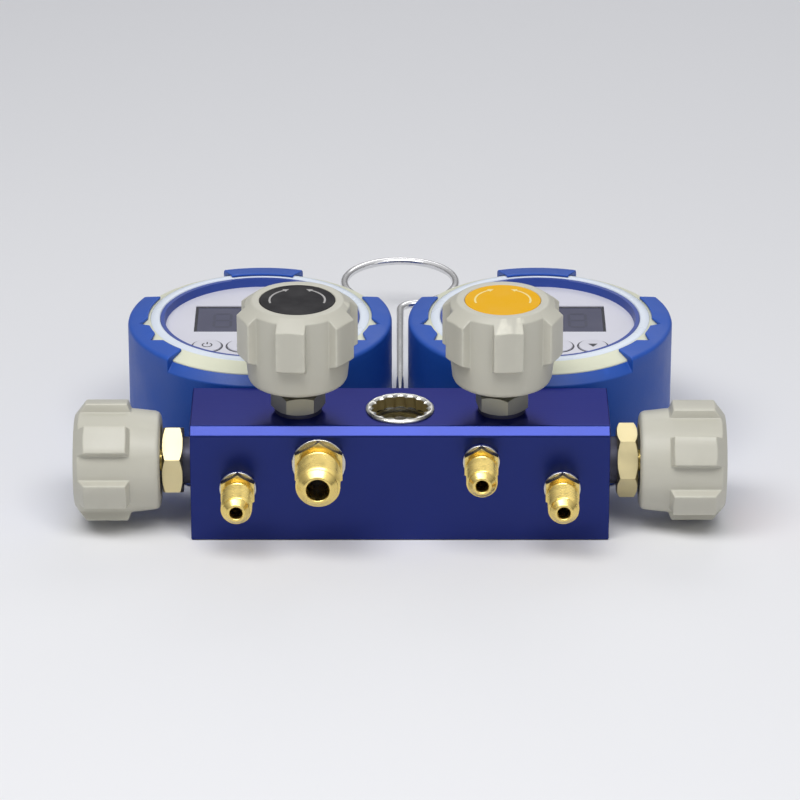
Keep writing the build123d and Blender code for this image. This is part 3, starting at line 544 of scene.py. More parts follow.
FINISHES = {
    "anodised": anodised_finish,
    "brass": brass_finish,
    "pale brass": lambda: brass_finish("Pale brass", (0.76, 0.66, 0.38), 0.38, 0.50),
    "nickel": nickel_finish,
    "satin nickel": lambda: brass_finish("Satin nickel", (0.42, 0.41, 0.33), 0.52, 0.64),
    # The near-black neck finish is painted shade.
    "neck": lambda: brass_finish("Shaded neck", (0.10, 0.10, 0.13), 0.45, 0.60),
    "wire": wire_finish,
    "zinc": zinc_finish,
    "glass": glass_finish,
    # Knobs and boots get painted shade in their creases, and raised edges lightened as part wear, part painted
    # highlight.
    "knob": lambda: moulded_finish("Knob plastic", colours().knob, 0.40, wear_and_highlight=0.45, crease_shade=0.75),
    "boot": lambda: moulded_finish("Boot rubber", colours().boot, 0.50, 1400.0, 0.2, wear_and_highlight=0.4, crease_shade=0.4),
    "housing": lambda: moulded_finish("Housing plastic", colours().housing, 0.45),
    "bezel": lambda: moulded_finish("Bezel plastic", colours().bezel, 0.30, grain=0.05),
    # The liners' dark blue is painted shade and painted reflection of the blue boots on the bezels' inner walls.
    "liner": lambda: moulded_finish("Liner plastic", (0.020, 0.055, 0.30), 0.42),
    "face": lambda: moulded_finish("Face panel", colours().face, 0.38, grain=0.05),
    "key": lambda: moulded_finish("Key", tint(colours().face, 0.98), 0.36, grain=0.05),
    "display": lambda: glossy_finish("Display glass", colours().display, 0.14, 0.15, 0.35),
    # The dark display border is painted shade at the display's recessed edge.
    "display border": lambda: glossy_finish("Display border", (0.012, 0.013, 0.024), 0.16, 0.1, 0.3),
    "display mark": lambda: glossy_finish("Display segments", (0.046, 0.049, 0.088), 0.20, 0.1, 0.3),
    "ink": lambda: moulded_finish("Dark print", (0.035, 0.035, 0.045), 0.5, grain=0.03),
    "black disc": lambda: glossy_finish("Black disc", (0.010, 0.009, 0.011), 0.40, 0.0, 0.14),
    "yellow disc": lambda: glossy_finish("Yellow disc", (0.80, 0.42, 0.005), 0.42, 0.0, 0.12),
    "blue disc": lambda: glossy_finish("Blue disc", (0.02, 0.09, 0.50), 0.34, 0.0, 0.3),
    "red disc": lambda: glossy_finish("Red disc", (0.52, 0.02, 0.02), 0.34, 0.0, 0.3),
    "silver print": lambda: moulded_finish("Silver print", (0.36, 0.35, 0.34), 0.35, grain=0.02),
    "pale print": lambda: moulded_finish("Pale yellow print", (0.86, 0.70, 0.24), 0.4, grain=0.02),
    "white print": lambda: moulded_finish("White print", (0.78, 0.78, 0.80), 0.4, grain=0.02),
    "board": lambda: moulded_finish("Circuit board", (0.02, 0.20, 0.08), 0.4),
    "cell": lambda: glossy_finish("Cell wrap", (0.06, 0.06, 0.07), 0.3),
    "ptfe": lambda: moulded_finish("White sealing plastic", (0.82, 0.82, 0.80), 0.4),
    "nitrile": lambda: moulded_finish("Black sealing rubber", (0.02, 0.02, 0.02), 0.5),
    "cavity": lambda: moulded_finish("Sight chamber", (0.20, 0.15, 0.055), 0.35, spread=0.1),
}
made_finishes = {}


def finish_of(name):
    if name not in made_finishes:
        made_finishes[name] = FINISHES[name]()
    return made_finishes[name]


# Valve block

class MANIFOLD_OT_block(bpy.types.Operator):
    """Makes the anodised block with its bevel, bonnet and port faces and the sight chamber"""
    bl_idname = "manifold.block"
    bl_label = "Valve block"

    bevel = 3.0 * MM
    chamber_radius = 8.0 * MM
    ledge_radius = 11.05 * MM
    ledge_depth = 7.0 * MM
    chamber_depth = 30.0 * MM

    def execute(self, context):
        low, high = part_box("manifold_block")
        bm = bmesh.new()
        outline = [
            (low.y, low.z), (high.y, low.z), (high.y, high.z),
            (low.y + self.bevel, high.z), (low.y, high.z - self.bevel),
        ]
        left = [bm.verts.new((low.x, y, z)) for y, z in outline]
        right = [bm.verts.new((high.x, y, z)) for y, z in outline]
        bm.faces.new(list(reversed(left)))
        bm.faces.new(right)
        for index in range(len(outline)):
            after = (index + 1) % len(outline)
            bm.faces.new((left[index], left[after], right[after], right[index]))
        round_edges(bm, sizes().edge_round, angle=20)
        block = make_piece(
            bm, "block_body", Matrix.Identity(4), "manifold", "anodised",
            ("manifold_block",))
        block.data.materials.append(finish_of("cavity"))
        cutter_mesh = bpy.data.meshes.new("sight_bore")
        bm = bmesh.new()
        above, ledge, bottom = high.z + MM, high.z - self.ledge_depth, high.z - self.chamber_depth
        turned(bm, [
            (NEAR_AXIS, above), (self.ledge_radius, above), (self.ledge_radius, ledge),
            (self.chamber_radius, ledge), (self.chamber_radius, bottom), (NEAR_AXIS, bottom),
        ], 64)
        clean(bm)
        for face in bm.faces:
            face.material_index = 1
        bm.to_mesh(cutter_mesh)
        bm.free()
        cutter = bpy.data.objects.new("sight_bore", cutter_mesh)
        for finish in block.data.materials:
            cutter_mesh.materials.append(finish)
        context.scene.collection.objects.link(cutter)
        cut = block.modifiers.new("Sight bore", "BOOLEAN")
        cut.operation = "DIFFERENCE"
        cut.object = cutter
        cut.solver = "EXACT"
        block.modifiers.move(1, 0)
        context.view_layer.update()
        evaluated = block.evaluated_get(context.evaluated_depsgraph_get())
        cut_mesh = bpy.data.meshes.new_from_object(evaluated)
        block.modifiers.clear()
        block.data = cut_mesh
        bpy.data.objects.remove(cutter)
        return {"FINISHED"}


# Sight glass

class MANIFOLD_OT_sight_glass(bpy.types.Operator):
    """Makes the plated ring with its scalloped opening, and gives the lens its glass"""
    bl_idname = "manifold.sight_glass"
    bl_label = "Sight glass"

    scallops = 14
    scallop_steps = 12
    scallop_depth = 1.0 * MM
    scallop_power = 0.7
    opening = 9.3 * MM
    dish = 1.0 * MM
    thread_inset = 1.4 * MM
    seat_gap = 0.05 * MM

    def execute(self, context):
        low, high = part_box("sight_glass_ring")
        radius = (high.x - low.x) / 2
        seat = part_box("manifold_block")[1].z + self.seat_gap
        thread = radius - self.thread_inset
        steps = self.scallops * self.scallop_steps
        columns = []
        for step in range(steps):
            angle = 2 * pi * step / steps
            wave = abs(sin(angle * self.scallops / 2))
            bore = self.opening + self.scallop_depth * wave ** self.scallop_power
            outline = [
                (bore, low.z), (thread, low.z), (thread, seat), (radius, seat),
                (radius, high.z - 0.6 * MM, 0.3 * MM), (radius - 0.7 * MM, high.z, 0.4 * MM),
                (bore + self.dish, high.z, 0.3 * MM), (bore, high.z - 0.7 * MM, 0.3 * MM),
            ]
            columns.append((angle, soften(outline, 3)))
        bm = bmesh.new()
        skin_columns(bm, columns)
        ring = make_piece(
            bm, "sight_ring", Matrix.Identity(4), "manifold", "nickel", ("sight_glass_ring",))
        ring.data.materials.append(finish_of("cavity"))
        inside = self.opening + self.scallop_depth + 0.3 * MM
        for face in ring.data.polygons:
            if Vector(face.center[:2]).length < inside and face.center.z < high.z - 0.9 * MM:
                face.material_index = 1
        paint("sight_glass_lens", "glass")
        return {"FINISHED"}


# Hose ports

class MANIFOLD_OT_ports(bpy.types.Operator):
    """Makes the four brass flare ports with real threads, and their plated washers"""
    bl_idname = "manifold.ports"
    bl_label = "Hose ports"

    quarter = {"bore": 2.2, "flats": 12.0, "spigot": 5.0, "washer": 6.6, "pitch": 1.27, "reach": 21.0}
    three_eighths = {"bore": 4.0, "flats": 17.0, "spigot": 7.0, "washer": 9.6, "pitch": 1.411, "reach": 22.7}
    thread_depth_share = 0.56
    chamfer_share = 1.02
    washer_thickness = 1.0
    washer_gap = 0.05
    hex_length = 3.6
    neck = 1.6
    flare = 2.4
    mouth_wall = 1.0
    spigot_length = 7.0

    def execute(self, context):
        for valve in VALVES:
            size = self.three_eighths if valve == "vacuum" else self.quarter
            self.make_port(valve, {label: value * MM for label, value in size.items()})
        return {"FINISHED"}

    def make_port(self, valve, size):
        place = port_place(valve)
        radius = MOUNTS[f"{valve}_port_thread"]["dims"]["r_mm"] * MM
        depth = size["pitch"] * self.thread_depth_share
        washer = self.washer_thickness * MM
        hex_end = washer + self.hex_length * MM
        thread_start = hex_end + self.neck * MM
        thread_end = size["reach"] - self.flare * MM
        root = radius - depth
        bm = bmesh.new()
        skin_columns(bm, [
            (angle, [(p[0], p[1] + washer) for p in outline])
            for angle, outline in hex_outline_columns(
                size["flats"], self.hex_length * MM, size["flats"] / 2 * self.chamfer_share, size["bore"])
        ])
        turned(bm, [(size["bore"], -self.spigot_length * MM), (size["spigot"], -self.spigot_length * MM),
                    (size["spigot"], washer), (size["bore"], washer)])
        turned(bm, soften([
            (size["bore"], hex_end), (root, hex_end, 0.2 * MM), (root, thread_start),
            (size["bore"], thread_start)]))
        add_thread(bm, radius, depth, size["pitch"], thread_start, thread_end, size["bore"])
        turned(bm, soften([
            (size["bore"], thread_end), (root, thread_end), (root, thread_end + 0.3 * MM, 0.15 * MM),
            (size["bore"] + self.mouth_wall * MM, size["reach"], 0.3 * MM),
            (size["bore"] + 0.3 * MM, size["reach"], 0.2 * MM),
            (size["bore"], size["reach"] - 0.5 * MM, 0.2 * MM),
        ]))
        make_piece(
            bm, f"{valve}_flare_port", place, "manifold", "brass", (f"{valve}_port",), 35)
        hole = size["spigot"] + self.washer_gap * MM
        bm = bmesh.new()
        turned(bm, soften([
            (hole, 0), (size["washer"], 0), (size["washer"], washer, 0.35 * MM), (hole, washer, 0.2 * MM)]))
        ring = make_piece(bm, f"{valve}_port_washer", place, "manifold", "nickel")
        if valve == VALVES[0]:
            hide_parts("port_washers")


# Valve bonnets

class MANIFOLD_OT_bonnets(bpy.types.Operator):
    """Makes the hex bonnets between the block and the knobs"""
    bl_idname = "manifold.bonnets"
    bl_label = "Valve bonnets"

    bore = 4.05 * MM
    sleeve = 5.5 * MM
    thread = 7.0 * MM
    neck_radius = 8.5 * MM
    collar = 7.5 * MM
    chamfer_share = 1.01
    side_hex = {"neck": 3.0 * MM, "flats": 23.2 * MM, "hex": 7.2 * MM}
    front_hex = {"neck": 1.5 * MM, "flats": 17.0 * MM, "hex": 6.4 * MM}
    turns = {"low": -5.4, "high": -24.6, "vacuum": 6.0, "charging": -18.5}

    def execute(self, context):
        for valve in VALVES:
            bottom, top = valve_span(valve, "bonnet")
            beside = valve in ("low", "high")
            size = self.side_hex if beside else self.front_hex
            neck, flats, tall = size["neck"], size["flats"], size["hex"]
            bm = bmesh.new()
            skin_columns(bm, [
                (angle, [(p[0], p[1] + neck) for p in outline])
                for angle, outline in hex_outline_columns(
                    flats, tall, flats / 2 * self.chamfer_share, self.bore, 96)
            ])
            turned(bm, [(self.sleeve, bottom), (self.thread, bottom), (self.thread, 0), (self.sleeve, 0)])
            turned(bm, soften([
                (self.bore, 0), (self.neck_radius, 0), (self.neck_radius, neck), (self.bore, neck)]))
            turned(bm, soften([
                (self.bore, neck + tall), (self.collar, neck + tall), (self.collar, top, 0.4 * MM),
                (self.bore, top, 0.3 * MM)]))
            place = valve_place(valve) @ Matrix.Rotation(radians(self.turns[valve]), 4, "Z")
            finish = "pale brass" if beside else "satin nickel"
            bonnet = make_piece(
                bm, f"{valve}_bonnet_nut", place, "manifold", finish, (f"{valve}_bonnet",))
            # The neck between the block and the hex gets a near-black finish: painted shade.
            bonnet.data.materials.append(finish_of("neck"))
            for face in bonnet.data.polygons:
                if -0.1 * MM < face.center.z < neck - 0.05 * MM:
                    face.material_index = 1
        return {"FINISHED"}


# Valve knobs and their end discs

class MANIFOLD_OT_knobs(bpy.types.Operator):
    """Makes the lobed knobs with their chamfers, ledges, recess and ribbed underside"""
    bl_idname = "manifold.knobs"
    bl_label = "Valve knobs"

    lobes = 6
    lobe_steps = 6
    gap_steps = 8
    lobe_width = 10.6 * MM
    body_radius = 18.75 * MM
    lobe_radius = 21.9 * MM
    pad_reach = 21.5 * MM
    base_radius = 17.8 * MM
    base_round = 2.0 * MM
    ledge_start = 10.7 * MM
    ledge_rise = 1.3 * MM
    shoulder = 26.8 * MM
    rim = 16.4 * MM
    recess = 13.55 * MM
    recess_depth = 1.1 * MM
    hollow = 12.8 * MM
    hollow_depth = 21.0 * MM
    hub = 6.5 * MM
    hub_inset = 0.5 * MM
    rib = 1.6 * MM
    rib_inset = 1.0 * MM
    rib_sink = 0.2 * MM
    turns = {"low": -14.7, "high": -33.8, "vacuum": -6.0, "charging": 5.0}

    def execute(self, context):
        for valve in VALVES:
            self.make_knob(valve)
        return {"FINISHED"}

    def outline_at(self, reach, height):
        """Outline of the knob where its star-shaped section reaches this far."""
        lobe_part = (reach - self.body_radius) / (self.lobe_radius - self.body_radius)
        slope = (height - self.shoulder) / (self.lobe_radius - self.rim)
        crease = self.shoulder + (self.lobe_radius - reach) * slope
        return [
            (self.hollow, self.hollow_depth), (self.hollow, 0),
            (self.base_radius - self.base_round, 0),
            (self.base_radius - self.base_round * 0.3, self.base_round * 0.3),
            (self.base_radius, self.base_round),
            (self.body_radius, self.ledge_start),
            (reach, self.ledge_start + self.ledge_rise * lobe_part),
            (reach, crease),
            (self.rim, height),
            (self.recess, height),
            (self.recess, height - self.recess_depth),
            (NEAR_AXIS, height - self.recess_depth),
            (NEAR_AXIS, self.hollow_depth),
        ]

    def make_knob(self, valve):
        bottom, top = valve_span(valve, "knob")
        height = top - bottom
        outer = asin(self.lobe_width / 2 / self.lobe_radius)
        inner = asin(self.lobe_width / 2 / self.body_radius)
        columns = []
        for lobe in range(self.lobes):
            middle = radians(self.turns[valve]) + 2 * pi * lobe / self.lobes
            for step in range(self.lobe_steps + 1):
                off = outer * (2 * step / self.lobe_steps - 1)
                reach = min(self.pad_reach / cos(off), self.lobe_radius)
                columns.append((middle + off, self.outline_at(reach, height)))
            gap = 2 * pi / self.lobes - 2 * inner
            for step in range(self.gap_steps + 1):
                angle = middle + inner + gap * step / self.gap_steps
                columns.append((angle, self.outline_at(self.body_radius, height)))
        bm = bmesh.new()
        skin_columns(bm, columns)
        round_edges(bm, sizes().knob_edge, angle=22)
        turned(bm, [
            (NEAR_AXIS, self.hub_inset), (self.hub, self.hub_inset), (self.hub, self.hollow_depth),
            (NEAR_AXIS, self.hollow_depth)], 48)
        for lobe in range(self.lobes):
            angle = radians(self.turns[valve]) + 2 * pi * lobe / self.lobes
            along = Vector((cos(angle), sin(angle)))
            across = Vector((-along.y, along.x)) * self.rib / 2
            start, end = along * (self.hub - self.rib_sink), along * (self.hollow + self.rib_sink)
            corners = [start - across, end - across, end + across, start + across]
            prism(bm, corners, self.rib_inset, self.hollow_depth)
        place = valve_place(valve) @ Matrix.Translation((0, 0, bottom))
        make_piece(
            bm, f"{valve}_lobed_knob", place, f"{valve}_handwheel", "knob",
            (f"{valve}_knob",))


def ring_mark(bm, inner, outer, start, end, lift, steps=24):
    """A flat printed arc between two radii and two angles in degrees."""
    rows = []
    for step in range(steps + 1):
        angle = radians(start + (end - start) * step / steps)
        rows.append([bm.verts.new((cos(angle) * r, sin(angle) * r, lift)) for r in (inner, outer)])
    for first, second in zip(rows, rows[1:]):
        bm.faces.new((first[0], first[1], second[1], second[0]))


def flat_mark(bm, points, lift):
    bm.faces.new([bm.verts.new((x, y, lift)) for x, y in points])


class MANIFOLD_OT_discs(bpy.types.Operator):
    """Makes the coloured discs in the knobs' ends, with turn arrows and no words"""
    bl_idname = "manifold.discs"
    bl_label = "Knob discs"

    radius = 13.5 * MM
    arc = 10.2 * MM
    arc_width = 0.7 * MM
    arc_middle = 68
    arc_half = 38
    arrow = 2.4 * MM
    arrow_length = 0.9
    edge_width = 1.4 * MM
    edge_rise = 0.12 * MM
    prints = {"low": "white print", "high": "white print", "vacuum": "silver print", "charging": "pale print"}
    slots = {"low": "blue_disc", "high": "red_disc", "vacuum": "black_disc", "charging": "yellow_disc"}

    def execute(self, context):
        for valve in VALVES:
            bottom, top = valve_span(valve, "disc")
            place = valve_place(valve)
            floor = top - self.edge_rise
            bm = bmesh.new()
            turned(bm, soften([
                (NEAR_AXIS, bottom), (self.radius, bottom), (self.radius, top, 0.3 * MM),
                (self.radius - 1.0 * MM, top), (self.radius - self.edge_width, floor), (NEAR_AXIS, floor)]))
            slot = self.slots[valve]
            make_piece(
                bm, f"{valve}_end_disc", place, f"{valve}_handwheel", slot.replace("_", " "),
                (f"{valve}_disc",))
            lift = floor + sizes().print_lift
            bm = bmesh.new()
            for side in (-1, 1):
                middle = 180 + side * self.arc_middle
                start, end = middle - self.arc_half, middle + self.arc_half
                ring_mark(bm, self.arc - self.arc_width, self.arc, start, end, lift)
                self.arrow_head(bm, radians(start if side > 0 else end), side, lift)
            make_piece(
                bm, f"{valve}_turn_arrows", place, f"{valve}_handwheel", self.prints[valve])
        return {"FINISHED"}

    def arrow_head(self, bm, angle, side, lift):
        middle = self.arc - self.arc_width / 2
        out = Vector((cos(angle), sin(angle)))
        along = Vector((-out.y, out.x)) * -side
        half = self.arrow / 2
        tip = out * middle + along * self.arrow * self.arrow_length
        points = [out * (middle - half), out * (middle + half), tip]
        flat_mark(bm, points if side > 0 else points[::-1], lift)


# Gauge boots

class MANIFOLD_OT_boots(bpy.types.Operator):
    """Makes the rubber boots with their claws, low sectors and front window"""
    bl_idname = "manifold.boots"
    bl_label = "Gauge boots"

    radius = 49.0 * MM
    edge = 1.2 * MM
    floor = 3.0 * MM
    opening = 37.5 * MM
    bore = 46.05 * MM
    shoulder = 49.4 * MM
    low_rim = 43.0 * MM
    front_outer = 43.7 * MM
    front_inner = 47.2 * MM
    top_reach = 37.2 * MM
    side_reach = 41.5 * MM
    notch_tip = 45.0 * MM
    notch_half = 5.06
    notch_clear = 0.8
    notches = (-28, -8, 188, 208)
    underside = ((37.2, 50.55), (39.2, 50.55), (40.65, 50.05), (46.05, 47.75))
    sectors = (
        (-48, 25, "side"), (25, 72, "low"), (72, 108, "top"), (108, 155, "low"), (155, 228, "side"),
        (228, 312, "front"))
    rim_round = ((0.0, 0.0), (0.28, 0.86), (0.85, 1.38))
    rim_drop = 1.5 * MM
    rim_width = 1.7 * MM
    end_rows = {"low": slice(3, 16), "front": slice(4, 15)}
    step = 3

    def execute(self, context):
        for side in SIDES:
            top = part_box(f"{side}_boot")[1].z
            bm = bmesh.new()
            for index, sector in enumerate(self.sectors):
                self.make_sector(bm, index, sector, top)
            round_edges(bm, sizes().boot_edge, angle=30)
            make_piece(
                bm, f"{side}_rubber_boot", gauge_place(side), "manifold", "boot",
                (f"{side}_boot",), 40)
        return {"FINISHED"}

    def top_height(self, reach, top):
        """Height of a claw's sloping top at this radius."""
        start = self.radius - self.edge
        return self.shoulder + (start - reach) * (top - self.shoulder) / (start - self.top_reach)

    def under_height(self, reach):
        """Height of a claw's underside at this radius."""
        points = [(r * MM, z * MM) for r, z in self.underside]
        for (near, high), (far, low) in zip(points, points[1:]):
            if reach <= far:
                return high + (low - high) * (reach - near) / (far - near)
        return points[-1][1]

    def reach_at(self, kind, angle):
        """How far in a claw's lip comes, with a square notch's two sides where there is one."""
        if kind == "top":
            return self.top_reach
        for notch in self.notches:
            off = abs(angle - notch)
            if off < self.notch_half:
                return self.notch_tip / (cos(radians(off)) + sin(radians(off)))
        return self.side_reach

    def outline(self, kind, angle, top):
        edge = self.front_outer
        inner_edge = self.front_inner
        if kind == "low":
            edge = inner_edge = self.low_rim
        if kind in ("low", "front"):
            rim = [(self.radius, edge)] * 4 + [(self.bore, inner_edge)] * 5
        else:
            reach = self.reach_at(kind, angle)
            start = self.shoulder - self.rim_drop
            rim = [(self.radius - inward * MM, start + rise * MM) for inward, rise in self.rim_round]
            rim += [(r, self.top_height(r, top)) for r in (self.radius - self.rim_width, reach)]
            under = [reach] + [max(reach, r * MM) for r, _ in self.underside[1:3]] + [self.bore]
            rim += [(r, self.under_height(r)) for r in under]
        return [
            (self.opening, 0), (self.radius - self.edge, 0), (self.radius, self.edge),
            (self.radius, self.low_rim), (self.radius, edge), *rim, (self.bore, inner_edge),
            (self.bore, self.low_rim), (self.bore, self.floor), (self.opening, self.floor)]

    def stretch(self, start, end, kind):
        count = ceil((end - start) / self.step)
        angles = [start + (end - start) * k / count for k in range(count + 1)]
        for notch in self.notches:
            if kind == "side" and start < notch < end:
                angles = [a for a in angles if abs(a - notch) > self.notch_half + self.notch_clear]
                angles += [notch + self.notch_half * k / 3 for k in range(-3, 4)]
        return sorted(angles)

    def make_sector(self, bm, index, sector, top):
        start, end, kind = sector
        angles = self.stretch(start, end, kind)
        rings = [column(bm, radians(angle), self.outline(kind, angle, top)) for angle in angles]
        join_rings(bm, rings)
        if kind in ("low", "front"):
            return
        before = self.sectors[index - 1][2]
        after = self.sectors[(index + 1) % len(self.sectors)][2]
        for ring, beside in ((rings[0], before), (rings[-1], after)):
            bm.faces.new(ring[self.end_rows[beside]])


# Gauge bezels, housings and faces

class MANIFOLD_OT_bezels(bpy.types.Operator):
    """Makes the pale bezel rings and finishes the housings and liners"""
    bl_idname = "manifold.bezels"
    bl_label = "Bezels and housings"

    inner = 37.0 * MM
    outer = 40.6 * MM
    slope = 1.4 * MM
    slope_drop = 0.5 * MM

    def execute(self, context):
        for side in SIDES:
            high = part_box(f"{side}_bezel")[1]
            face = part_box(f"{side}_face_panel")[1].z
            bm = bmesh.new()
            turned(bm, soften([
                (self.inner, face), (self.outer, face), (self.outer, high.z - self.slope_drop, 0.3 * MM),
                (self.outer - self.slope, high.z, 0.6 * MM), (self.inner, high.z, 0.9 * MM),
            ], 5), 160)
            make_piece(
                bm, f"{side}_bezel_ring", gauge_place(side), "manifold", "bezel",
                (f"{side}_bezel",))
            paint(f"{side}_housing", "housing")
            paint(f"{side}_battery_cover", "housing")
            # The liner's dark blue is painted shade and painted reflection of the boot.
            paint(f"{side}_liner", "liner")
        return {"FINISHED"}


class MANIFOLD_OT_faces(bpy.types.Operator):
    """Finishes the face panels and displays, with display borders and unlit segments"""
    bl_idname = "manifold.faces"
    bl_label = "Faces and displays"

    border = 1.0 * MM
    glass_half = (24.35 * MM, 11.95 * MM)
    digit_height = 12.0 * MM
    digit_width = 6.2 * MM
    digit_pitch = 9.4 * MM
    digit_drop = 0.5 * MM
    segment = 1.1 * MM
    segment_gap = 0.25 * MM

    def execute(self, context):
        for side in SIDES:
            paint(f"{side}_face_panel", "face")
            paint(f"{side}_lcd", "display")
            self.draw_display(side)
        return {"FINISHED"}

    def draw_display(self, side):
        low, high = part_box(f"{side}_lcd")
        place = gauge_place(side)
        local = place.inverted()
        low, high = local @ low, local @ high
        middle = (low.y + high.y) / 2
        half_x, half_y = self.glass_half
        lift = high.z + sizes().print_lift
        # The dark border round each display is painted shade at the display's recessed edge.
        bm = bmesh.new()
        inner_x, inner_y = half_x - self.border, half_y - self.border
        outer = [(-half_x, -half_y), (half_x, -half_y), (half_x, half_y), (-half_x, half_y)]
        inner = [(-inner_x, -inner_y), (inner_x, -inner_y), (inner_x, inner_y), (-inner_x, inner_y)]
        for index in range(4):
            after = (index + 1) % 4
            edge = (outer[index], outer[after], inner[after], inner[index])
            flat_mark(bm, [(x, y + middle) for x, y in edge], lift)
        make_piece(bm, f"{side}_display_border", place, "manifold", "display border")
        bm = bmesh.new()
        for digit in range(4):
            x = (digit - 1.5) * self.digit_pitch
            self.draw_digit(bm, x, middle - self.digit_drop, lift)
        make_piece(bm, f"{side}_display_segments", place, "manifold", "display mark")

    def draw_digit(self, bm, x, y, lift):
        """The seven unlit segments of one digit."""
        half_w, half_h = self.digit_width / 2, self.digit_height / 2
        thick, gap = self.segment / 2, self.segment_gap
        for level in (-half_h, 0, half_h):
            start, end = x - half_w + gap, x + half_w - gap
            flat_mark(bm, [
                (start, y + level), (start + thick, y + level - thick), (end - thick, y + level - thick),
                (end, y + level), (end - thick, y + level + thick), (start + thick, y + level + thick)], lift)
        for across in (-half_w, half_w):
            for row in (0, 1):
                start = y - half_h * (1 - row) + gap
                end = start + half_h - 2 * gap
                left, middle, right = x + across - thick, x + across, x + across + thick
                flat_mark(bm, [
                    (middle, start), (right, start + thick), (right, end - thick), (middle, end),
                    (left, end - thick), (left, start + thick)], lift)


class MANIFOLD_OT_buttons(bpy.types.Operator):
    """Makes the round keys with their printed rings and plain signs"""
    bl_idname = "manifold.buttons"
    bl_label = "Gauge buttons"

    radius = 5.2 * MM
    ring = (5.3 * MM, 5.85 * MM)

    def execute(self, context):
        for side in SIDES:
            for button in BUTTONS:
                node = f"{side}_{button}_button"
                low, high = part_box(node)
                body = body_of_node(node)
                centre = ((low.x + high.x) / 2, (low.y + high.y) / 2, 0)
                place = Matrix.Translation(centre)
                flange = (high.x - low.x) / 2
                bm = bmesh.new()
                turned(bm, soften([
                    (NEAR_AXIS, low.z), (flange, low.z), (flange, low.z + MM), (self.radius, low.z + MM),
                    (self.radius, high.z, 0.35 * MM), (NEAR_AXIS, high.z)]), 64)
                make_piece(bm, f"{side}_{button}_key", place, body, "key", (node,))
                lift = high.z + sizes().print_lift
                bm = bmesh.new()
                getattr(self, f"draw_{button}")(bm, lift)
                make_piece(bm, f"{side}_{button}_sign", place, body, "ink")
                bm = bmesh.new()
                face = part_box(f"{side}_face_panel")[1].z
                ring_mark(bm, *self.ring, 0, 360, face + sizes().print_lift, 64)
                make_piece(bm, f"{side}_{button}_ring", place, "manifold", "ink")
        return {"FINISHED"}

    def draw_power(self, bm, lift):
        ring_mark(bm, 1.5 * MM, 2.0 * MM, 125, 415, lift)
        half, bottom, top = 0.25 * MM, 0.7 * MM, 2.5 * MM
        flat_mark(bm, [(-half, bottom), (half, bottom), (half, top), (-half, top)], lift)

    def draw_mode(self, bm, lift):
        for row in (-1, 0, 1):
            y = row * 1.2 * MM
            flat_mark(bm, [(-1.7 * MM, y - 0.2 * MM), (1.7 * MM, y - 0.2 * MM), (1.7 * MM, y + 0.2 * MM),
                           (-1.7 * MM, y + 0.2 * MM)], lift)

    def draw_up(self, bm, lift):
        flat_mark(bm, [(-1.8 * MM, -1.1 * MM), (1.8 * MM, -1.1 * MM), (0, 1.7 * MM)], lift)

    def draw_down(self, bm, lift):
        flat_mark(bm, [(-1.8 * MM, 1.1 * MM), (0, -1.7 * MM), (1.8 * MM, 1.1 * MM)], lift)


# Hanging hook

class MANIFOLD_OT_hook(bpy.types.Operator):
    """Makes the bright wire hook and finishes its bush"""
    bl_idname = "manifold.hook"
    bl_label = "Hanging hook"

    wire = 1.5 * MM
    ring = 21.8 * MM
    bend = 6.0 * MM
    mouth = 52.0
    sides = 20
    shank_steps = 12
    bend_steps = 8
    ring_steps = 72
    tip_parts = (0.5, 0.85)
    tip_length = 0.35

    def execute(self, context):
        low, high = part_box("hook")
        centre_y = high.y - self.ring - self.wire
        height = JOINTS["hook_swivel"]["pos_m"][2]
        drop = sqrt((self.bend + self.ring) ** 2 - self.bend ** 2)
        bend_y = centre_y - drop
        meeting = degrees(atan2(drop, -self.bend))
        steps = self.shank_steps
        path = [Vector((0, low.y + (bend_y - low.y) * k / steps)) for k in range(steps)]
        for k in range(self.bend_steps + 1):
            angle = radians(180 - (180 - meeting) * k / self.bend_steps)
            path.append(Vector((self.bend + self.bend * cos(angle), bend_y + self.bend * sin(angle))))
        end = 270 - self.mouth
        for k in range(1, self.ring_steps + 1):
            angle = radians(meeting - 180 + (end - meeting + 180) * k / self.ring_steps)
            path.append(Vector((self.ring * cos(angle), centre_y + self.ring * sin(angle))))
        bm = bmesh.new()
        rings = []
        for index, point in enumerate(path):
            before = path[max(index - 1, 0)]
            after = path[min(index + 1, len(path) - 1)]
            along = (after - before).normalized()
            across = Vector((along.y, -along.x))
            rings.append(self.ring_at(bm, point, across, self.wire, height))
            if index == len(path) - 1:
                for part in self.tip_parts:
                    tip = point + along * self.wire * self.tip_length * part / self.tip_parts[-1]
                    rings.append(self.ring_at(bm, tip, across, self.wire * sqrt(1 - part * part), height))
        join_rings(bm, rings)
        bm.faces.new(rings[0])
        bm.faces.new(list(reversed(rings[-1])))
        make_piece(bm, "hook_wire", Matrix.Identity(4), "hook", "wire", ("hook",), 50)
        paint("hook_bush", "brass")
        return {"FINISHED"}

    def ring_at(self, bm, point, across, radius, height):
        ring = []
        for side in range(self.sides):
            angle = 2 * pi * side / self.sides
            flat = point + across * radius * cos(angle)
            ring.append(bm.verts.new((flat.x, flat.y, height + radius * sin(angle))))
        return ring


# Inner pieces

class MANIFOLD_OT_inner_parts(bpy.types.Operator):
    """Finishes the pieces that the housings and the block hide"""
    bl_idname = "manifold.inner_parts"
    bl_label = "Inner parts"

    def execute(self, context):
        pieces = {"seal_rings": "nitrile", "battery_cells": "cell", "housing_screws": "zinc"}
        for valve in VALVES:
            pieces.update({f"{valve}_stem": "brass", f"{valve}_piston": "ptfe"})
        for side in SIDES:
            pieces.update({f"{side}_circuit_board": "board", f"{side}_pressure_sensor": "brass"})
        for node, finish in pieces.items():
            paint(node, finish)
        return {"FINISHED"}


# Floor, light and camera

